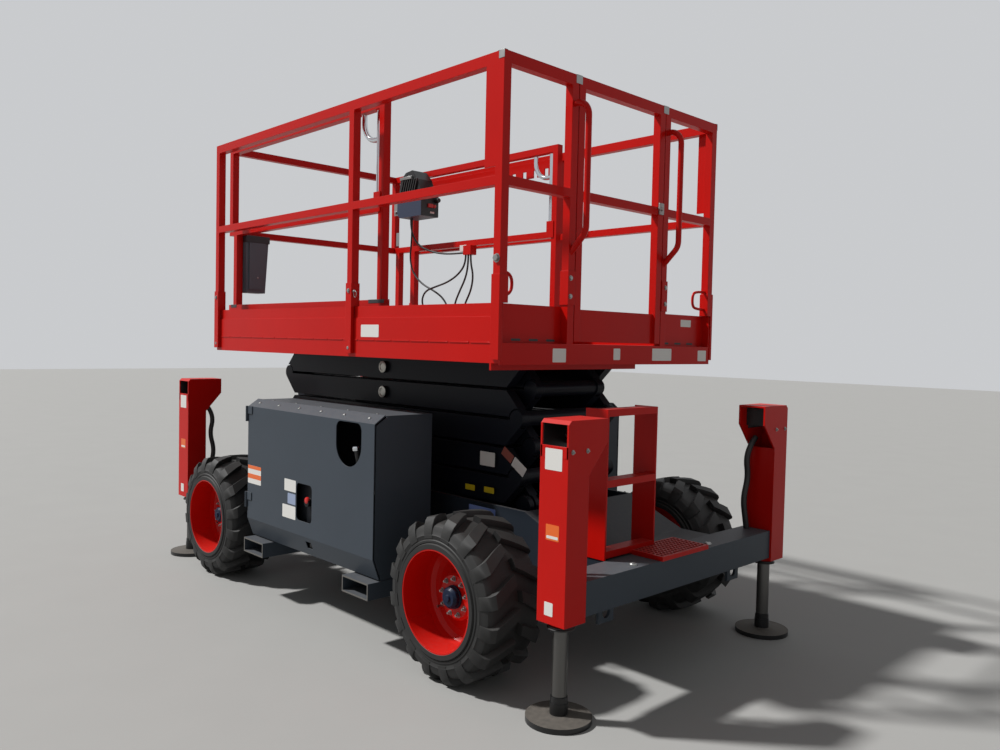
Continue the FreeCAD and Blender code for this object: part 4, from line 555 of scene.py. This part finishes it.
# The cabinets' doors are folded panels: cross-head screws hold the top fold, bare plates and a striped patch
# are stuck beside the window, a red stop button shows through it, and a black cup holds the latch.
red_abs = moulded("red_stop_button", "#C01810", rough=0.3, grain_mm=1.2, depth_mm=0.02, dust=0.05)
DOOR_FACE, FOLD_Y, FOLD_Z = 0.835, 0.8078, 0.9985
FOLD_OUT = Vector((0, 0.5616, 0.8273))
SCREWS = 6
for side, s in (("left", -1), ("right", 1)):
    mesh = bmesh.new()
    for index in range(SCREWS):
        out = Vector((0, s * FOLD_OUT.y, FOLD_OUT.z))
        screw(mesh, Vector((-0.50 + 0.196 * index, s * FOLD_Y, FOLD_Z)), out, 0.0075, 0.0045)
    form(f"fold_screws_{side}", mesh, zinc_plate, f"door_{side[0]}")
    mesh = bmesh.new()
    brick(mesh, (-0.003, min(s * 0.806, s * 0.801), 0.340), (0.043, max(s * 0.806, s * 0.801), 0.370))
    turned(mesh, (0.020, s * 0.806, 0.355), (0, s, 0), [(0.011, 0), (0.011, 0.004), (0.008, 0.006)], 20)
    form(f"latch_cup_{side}", mesh, black_plastic, f"door_{side[0]}", 0.001)

PLATES = (  # name, material, middle x, middle z, width, height
    ("upper", white_vinyl, -0.139, 0.622, 0.108, 0.058), ("middle", blue_vinyl, -0.124, 0.558, 0.074, 0.052),
    ("lower", white_vinyl, -0.148, 0.492, 0.124, 0.064), ("patch", white_vinyl, -0.500, 0.626, 0.138, 0.094))
for name, vinyl, x, z, width, height in PLATES:
    mesh = bmesh.new()
    plaque(mesh, (x, -DOOR_FACE, z), (1, 0, 0), (0, 0, 1), width, height, 0.0006, 0.004)
    form(f"door_plate_{name}", mesh, vinyl, "door_l")
mesh = bmesh.new()
for z, height in ((0.664, 0.018), (0.617, 0.024)):
    plaque(mesh, (-0.500, -DOOR_FACE - 0.0005, z), (1, 0, 0), (0, 0, 1), 0.138, height, 0.0004, 0.003)
form("door_patch_stripes", mesh, orange_vinyl, "door_l")
mesh = bmesh.new()
turned(mesh, (-0.010, -0.822, 0.565), (0, -1, 0), [(0.016, -0.010), (0.0172, -0.004), (0.0152, 0.001),
                                                   (0.010, 0.0035), (0.004, 0.004)], 32)
form("stop_button_cap", mesh, red_abs, "chassis")

# The oil tank behind the left door has a filler neck, and its chromed cap glints inside the port.
mesh = bmesh.new()
turned(mesh, (0.372, -0.758, 0.655), (0, -0.20, 0.98), [(0.013, 0), (0.013, 0.196)], 24)
form("tank_neck", mesh, black_plastic, "chassis")
mesh = bmesh.new()
turned(mesh, (0.372, -0.797, 0.846), (0, -0.20, 0.98), [(0.018, 0), (0.020, 0.003), (0.020, 0.016), (0.015, 0.021),
                                                       (0.006, 0.023)], 28)
form("tank_cap", mesh, hard_chrome, "chassis")

# The forks have worn the rims of the lifting pockets down to bare steel.
POCKET_X, POCKET_HALF, POCKET_LOW, POCKET_HIGH, RIM, POCKET_END = 0.460, 0.099, 0.223, 0.296, 0.0068, 0.859
mesh = bmesh.new()
for x in (-POCKET_X, POCKET_X):
    for s in (-1, 1):
        low_y, high_y = sorted((s * POCKET_END, s * (POCKET_END + 0.0006)))
        for z in (POCKET_LOW, POCKET_HIGH - RIM):
            brick(mesh, (x - POCKET_HALF, low_y, z), (x + POCKET_HALF, high_y, z + RIM))
        for left in (x - POCKET_HALF, x + POCKET_HALF - RIM):
            brick(mesh, (left, low_y, POCKET_LOW + RIM), (left + RIM, high_y, POCKET_HIGH - RIM))
form("pocket_rims", mesh, worn_steel, "chassis")

# A hinge leaf's screws, and the seam screws that join the cabinets' top to their ends.
mesh = bmesh.new()
for s in (-1, 1):
    for index in range(5):
        screw(mesh, (-0.46 + 0.23 * index, s * 0.752, 1.013), (0, 0, 1), 0.006, 0.003)
form("cabinet_screws", mesh, zinc_plate, "chassis")


# The stack is welded from plate arms. Turned pins with retaining rings show at the centre of each outer arm,
# bright from wear, and the bare plates and yellow stripes are vinyl.
pin_steel = plated("worn_pin_steel", "#B4B2AA", 0.40)
ARM_FACE, STACK_X, STACK_FOOT, PITCH = 0.334, -0.085, 0.615, 0.130
for level in range(1, 6):
    mesh = bmesh.new()
    middle = STACK_FOOT + (2 * level - 1) * PITCH / 2
    for s in (-1, 1):
        turned(mesh, (STACK_X, s * ARM_FACE, middle), (0, s, 0),
               [(0.030, -0.002), (0.030, 0.004), (0.022, 0.006), (0.020, 0.006), (0.018, 0.003), (0.006, 0.003)], 32)
    form(f"pin_heads_{level}", mesh, pin_steel, f"outer_{level}")

red_vinyl = moulded("faded_red_vinyl", "#8E4A3E", rough=0.4, grain_mm=1.5, depth_mm=0.03, dust=0.08)
ARM_PLATES = (  # name, level, material, middle x, middle z, width, height, slope in degrees
    ("sign", 2, white_vinyl, 0.728, 0.812, 0.098, 0.064, 0), ("slanted", 2, white_vinyl, 0.930, 0.800, 0.086, 0.046, -32),
    ("slanted_top", 2, red_vinyl, 0.858, 0.845, 0.072, 0.040, -32),
    ("stripe_near", 1, yellow_vinyl, 0.614, 0.668, 0.066, 0.026, 0),
    ("stripe_far", 1, yellow_vinyl, 0.743, 0.672, 0.066, 0.026, 0))
for name, level, vinyl, x, z, width, height, slope in ARM_PLATES:
    mesh = bmesh.new()
    turn = math.radians(slope)
    plaque(mesh, (x, -ARM_FACE, z), (math.cos(turn), 0, math.sin(turn)), (-math.sin(turn), 0, math.cos(turn)),
           width, height, 0.0006, 0.003)
    form(f"arm_plate_{name}", mesh, vinyl, f"outer_{level}")
# A darker copy of the pale blue vinyl is painted shade on the tray's plate.
painted_shade_blue_vinyl = moulded("painted_shade_blue_vinyl", "#232F50", rough=0.4, grain_mm=1.5, depth_mm=0.03, dust=0.06)
mesh = bmesh.new()
plaque(mesh, (0.900, -0.520, 0.622), (1, 0, 0), (0, 0, 1), 0.165, 0.042, 0.0006, 0.003)
form("tray_plate", mesh, painted_shade_blue_vinyl, "chassis")


# The platform's side sheets are joined along a tabbed seam, which catches the light as a thin broken line.
# Black plaques at the foot of the kick plates are painted shade for the dark openings of drain slots, and the fascia
# carries bare plates.
SIDE_FACE, SEAM_Z = 0.717, 1.339
mesh = bmesh.new()
TABS, TAB_PITCH, TAB_GAP = 18, 0.128, 0.010
for s in (-1, 1):
    for index in range(TABS):
        start = -1.150 + TAB_PITCH * index
        brick(mesh, (start, min(s * SIDE_FACE, s * (SIDE_FACE + 0.0030)), SEAM_Z - 0.0025),
              (start + TAB_PITCH - TAB_GAP, max(s * SIDE_FACE, s * (SIDE_FACE + 0.0030)), SEAM_Z + 0.0025))
form("side_seams", mesh, red_coat, "platform", 0.0004)
# painted shade: black plaques for the dark openings of the drain slots
mesh = bmesh.new()
KICK_FACE, SLOT_Z = 1.159, 1.353
for s in (-1, 1):
    for y in (0.40, 0.50, 0.60):
        plaque(mesh, (KICK_FACE, s * y, SLOT_Z), (0, 1, 0), (0, 0, 1), 0.052, 0.009, 0.0005, 0.0043)
form("drain_slot_painted_shade", mesh, black_plastic, "platform")
FASCIA_PLATES = (  # middle y, middle z, width, height
    (-0.385, 1.293, 0.080, 0.056), (-0.012, 1.300, 0.046, 0.050), (0.322, 1.300, 0.150, 0.056), (0.655, 1.296, 0.072, 0.052))
mesh = bmesh.new()
for y, z, width, height in FASCIA_PLATES:
    plaque(mesh, (1.197, y, z), (0, 1, 0), (0, 0, 1), width, height, 0.0006, 0.004)
plaque(mesh, (KICK_FACE, 0.565, 1.452), (0, 1, 0), (0, 0, 1), 0.086, 0.034, 0.0006, 0.003)
plaque(mesh, (0.340, -SIDE_FACE, 1.380), (1, 0, 0), (0, 0, 1), 0.138, 0.056, 0.0006, 0.004)
form("fascia_plates", mesh, white_vinyl, "platform")


# The guard rails stand in sockets, held by bolts and by pins on lanyards, with bail handles at the rear
# corners. Zinc plated clips keep the top joints.
RAIL_Y, POST_X, RAIL_TOP = 0.710, 1.178, 2.436
mesh = bmesh.new()
for s in (-1, 1):
    for x in (-POST_X, 0.188):
        bolt(mesh, (x, s * 0.733, 1.565), (0, s, 0), 0.0085, 0.006)
        bolt(mesh, (x, s * 0.729, 1.300), (0, s, 0), 0.0085, 0.006)
    bolt(mesh, (POST_X, s * 0.729, 1.660), (0, s, 0), 0.014, 0.011)
    bolt(mesh, (1.201, s * 0.331, 1.610), (1, 0, 0), 0.0085, 0.006)
    bolt(mesh, (1.201, s * 0.331, 1.535), (1, 0, 0), 0.0085, 0.006)
form("socket_bolts", mesh, zinc_plate, "platform")

mesh = bmesh.new()
CLIP = 0.0016
for low_y, high_y in ((-0.322, -0.284), (0.284, 0.322)):
    brick(mesh, (1.150, low_y, RAIL_TOP), (1.197 + CLIP, high_y, RAIL_TOP + CLIP))
    brick(mesh, (1.197, low_y, RAIL_TOP - 0.034), (1.197 + CLIP, high_y, RAIL_TOP))
for s in (-1, 1):
    brick(mesh, (1.163, min(s * 0.712, s * 0.7306), RAIL_TOP), (1.197 + CLIP, max(s * 0.712, s * 0.7306), RAIL_TOP + CLIP))
    brick(mesh, (1.168, min(s * 0.729, s * 0.7306), RAIL_TOP - 0.030), (1.1986, max(s * 0.729, s * 0.7306), RAIL_TOP))
form("top_clips", mesh, zinc_plate, "platform", 0.0006)


def bent_rod(name, points, radius, material, body, closed=False):
    """A bent rod: a smooth curve through a few chosen points."""
    curve = bpy.data.curves.new(name, "CURVE")
    curve.dimensions = "3D"
    curve.bevel_depth = radius
    curve.bevel_resolution = 3
    curve.resolution_u = 8
    curve.use_fill_caps = True
    spline = curve.splines.new("NURBS")
    spline.points.add(len(points) - 1)
    for point, place in zip(spline.points, points):
        point.co = (*place, 1.0)
    spline.order_u = 3
    spline.use_endpoint_u = not closed
    spline.use_cyclic_u = closed
    curve.materials.append(material)
    made = bpy.data.objects.new(name, curve)
    bpy.context.scene.collection.objects.link(made)
    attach(made, body)
    return made


BAIL = {"left": 0.668, "right": 0.610}
for side, s in (("left", -1), ("right", 1)):
    bent_rod(f"corner_bail_{side}", [
        (POST_X, s * 0.690, 1.610), (POST_X, s * BAIL[side], 1.610), (POST_X, s * (BAIL[side] - 0.022), 1.588),
        (POST_X, s * (BAIL[side] - 0.022), 1.545), (POST_X, s * BAIL[side], 1.524), (POST_X, s * 0.690, 1.524)],
        0.0065, red_coat, "platform")
    ring = [(0.2125 + 0.013 + 0.012 * math.cos(math.radians(a)), s * 0.722, 1.548 + 0.016 * math.sin(math.radians(a)))
            for a in range(0, 360, 45)]
    bent_rod(f"pin_ring_{side}", ring, 0.0014, zinc_plate, "platform", closed=True)
mesh = bmesh.new()
for s in (-1, 1):
    turned(mesh, (0.211, s * 0.722, 1.562), (1, 0, 0), [(0.006, 0), (0.006, 0.012), (0.004, 0.014)], 16)
form("lanyard_pins", mesh, zinc_plate, "platform")

# Each outrigger's hose runs down the inboard side of its column, from the hood to the top of the beam.
for end, e in (("front", -1), ("rear", 1)):
    for side, s in (("left", -1), ("right", 1)):
        bent_rod(f"outrigger_hose_{end}_{side}", [
            (e * 1.505, s * 0.652, 0.925), (e * 1.500, s * 0.628, 0.905), (e * 1.488, s * 0.600, 0.830),
            (e * 1.490, s * 0.622, 0.740), (e * 1.482, s * 0.596, 0.640), (e * 1.486, s * 0.612, 0.550),
            (e * 1.490, s * 0.620, 0.497)], 0.0135, black_rubber, "chassis")

# The gate's latch is a small plated case on its closing post, with a thumb lever.
mesh = bmesh.new()
brick(mesh, (1.197, 0.262, 1.940), (1.205, 0.296, 1.992))
turned(mesh, (1.205, 0.279, 1.966), (1, 0, 0), [(0.009, 0), (0.009, 0.004), (0.006, 0.006)], 20)
brick(mesh, (1.2045, 0.252, 1.962), (1.2085, 0.282, 1.970))
form("gate_latch", mesh, zinc_plate, "gate_body", 0.001)


# The roll-out deck slides on black wear pads over its toe board, and a white tape marks the leads' clip.
wear_pad = moulded("nylon_wear_pad", "#2A2B2E", rough=0.45, dust=0.2)
mesh = bmesh.new()
for s in (-1, 1):
    for low_x, high_x in ((-1.238, -1.168), (0.175, 0.300)):
        brick(mesh, (low_x, min(s * 0.603, s * 0.6135), 1.512), (high_x, max(s * 0.603, s * 0.6135), 1.5295))
form("wear_pads", mesh, wear_pad, "extension", 0.001)
mesh = bmesh.new()
brick(mesh, (-0.540, 0.5722, 1.9060), (-0.478, 0.6138, 1.9460))
form("clip_tape", mesh, white_vinyl, "extension", 0.0006)
mesh = bmesh.new()
plaque(mesh, (-1.191, 0.574, 2.030), (1, 0, 0), (0, 0, 1), 0.032, 0.090, 0.0012, 0.003)
form("post_plate", mesh, zinc_plate, "extension")


# The control box is a moulded station: a navy case, a black ribbed guard over the joystick, a red switch
# cover, a small pale label, and a plated bolt where it clamps to the rail.
station, tree, shader, where = finish_of("station_abs", paint("#1B2233"), 0.42)
split = add(tree, "ShaderNodeSeparateXYZ", Vector=where)
above = add(tree, "ShaderNodeMath", {"operation": "GREATER_THAN"}, i_0=split.outputs["Z"], i_1=2.2795)
facing = add(tree, "ShaderNodeNewGeometry")
apart = add(tree, "ShaderNodeSeparateXYZ", Vector=facing.outputs["Normal"])
ended = add(tree, "ShaderNodeMath", {"operation": "GREATER_THAN"}, i_0=apart.outputs["X"], i_1=0.6)
dark_part = add(tree, "ShaderNodeMath", {"operation": "MAXIMUM"}, i_0=above.outputs[0], i_1=ended.outputs[0])
two_tone = add(tree, "ShaderNodeMix", {"data_type": "RGBA"}, i_0=dark_part.outputs[0], i_6=paint("#242F48"),
               i_7=paint("#101113"))
tree.links.new(two_tone.outputs[2], shader.inputs["Base Color"])
grain = add(tree, "ShaderNodeTexVoronoi", Vector=where, Scale=500.0)
raised = add(tree, "ShaderNodeBump", Strength=0.3, Distance=0.0001, Height=grain.outputs["Distance"])
tree.links.new(raised.outputs[0], shader.inputs["Normal"])
dress(station, "control_box")

BOX_LOW, BOX_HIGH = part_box("control_box")
GUARD_Y = BOX_LOW.y + 0.012
lean = math.radians(18)
RIBS, RIB_PITCH = 7, 0.0235
mesh = bmesh.new()
for index in range(RIBS):
    plaque(mesh, (-0.968 + RIB_PITCH * index, GUARD_Y, 2.338), (math.cos(lean), 0, -math.sin(lean)),
           (math.sin(lean), 0, math.cos(lean)), 0.009, 0.094, 0.011, 0.002)
form("guard_ribs", mesh, black_plastic, "extension", 0.001)
mesh = bmesh.new()
brick(mesh, (-0.985, GUARD_Y - 0.014, 2.384), (-0.865, GUARD_Y + 0.002, 2.402))
form("guard_bar", mesh, zinc_plate, "extension", 0.001)
END_X, CASE_Y = -0.760, 0.502
mesh = bmesh.new()
brick(mesh, (END_X - 0.001, CASE_Y - 0.018, 2.196), (END_X + 0.010, CASE_Y + 0.022, 2.220))
turned(mesh, (END_X, CASE_Y + 0.036, 2.208), (1, 0, 0), [(0.011, 0), (0.011, 0.008), (0.008, 0.010)], 20)
form("switch_cover", mesh, red_abs, "extension", 0.0012)
mesh = bmesh.new()
plaque(mesh, (END_X, CASE_Y + 0.020, 2.166), (0, 1, 0), (0, 0, 1), 0.034, 0.012, 0.0005, 0.002)
form("station_label", mesh, white_vinyl, "extension")
mesh = bmesh.new()
brick(mesh, (-1.052, BOX_LOW.y + 0.006, 2.160), (-1.009, BOX_LOW.y + 0.012, 2.244))
bolt(mesh, (-1.030, BOX_LOW.y + 0.006, 2.180), (0, -1, 0), 0.010, 0.010)
form("station_clamp", mesh, zinc_plate, "extension", 0.001)
mesh = bmesh.new()
turned(mesh, (-0.745, BOX_LOW.y + 0.034, 2.263), (1, 0, 0), [(0.0185, -0.010), (0.0185, 0.006), (0.015, 0.0145)], 28)
turned(mesh, (END_X, 0.553, 2.246), (1, 0, 0), [(0.017, -0.001), (0.017, 0.016), (0.014, 0.030)], 28)
form("station_knob_grip", mesh, black_plastic, "extension")


# The document box is moulded polyethylene: a grey-blue cover, a darker lip along its top, and one screw.
document_shell = moulded("document_box_polyethylene", "#4F5E68", rough=0.45, grain_mm=3.0, dust=0.12)
document_lip = moulded("document_box_lip", "#1A1D23", rough=0.5, dust=0.15)
dress(document_shell, "manual_box")
LOW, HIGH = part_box("manual_box")
mesh = bmesh.new()
brick(mesh, (LOW.x + 0.002, LOW.y - 0.0015, HIGH.z - 0.040), (HIGH.x + 0.0015, HIGH.y + 0.0015, HIGH.z + 0.001))
form("document_lip", mesh, document_lip, "extension", 0.001)
mesh = bmesh.new()
screw(mesh, (HIGH.x, (LOW.y + HIGH.y) / 2, LOW.z + 0.09), (1, 0, 0), 0.005, 0.0025)
form("document_screw", mesh, zinc_plate, "extension")
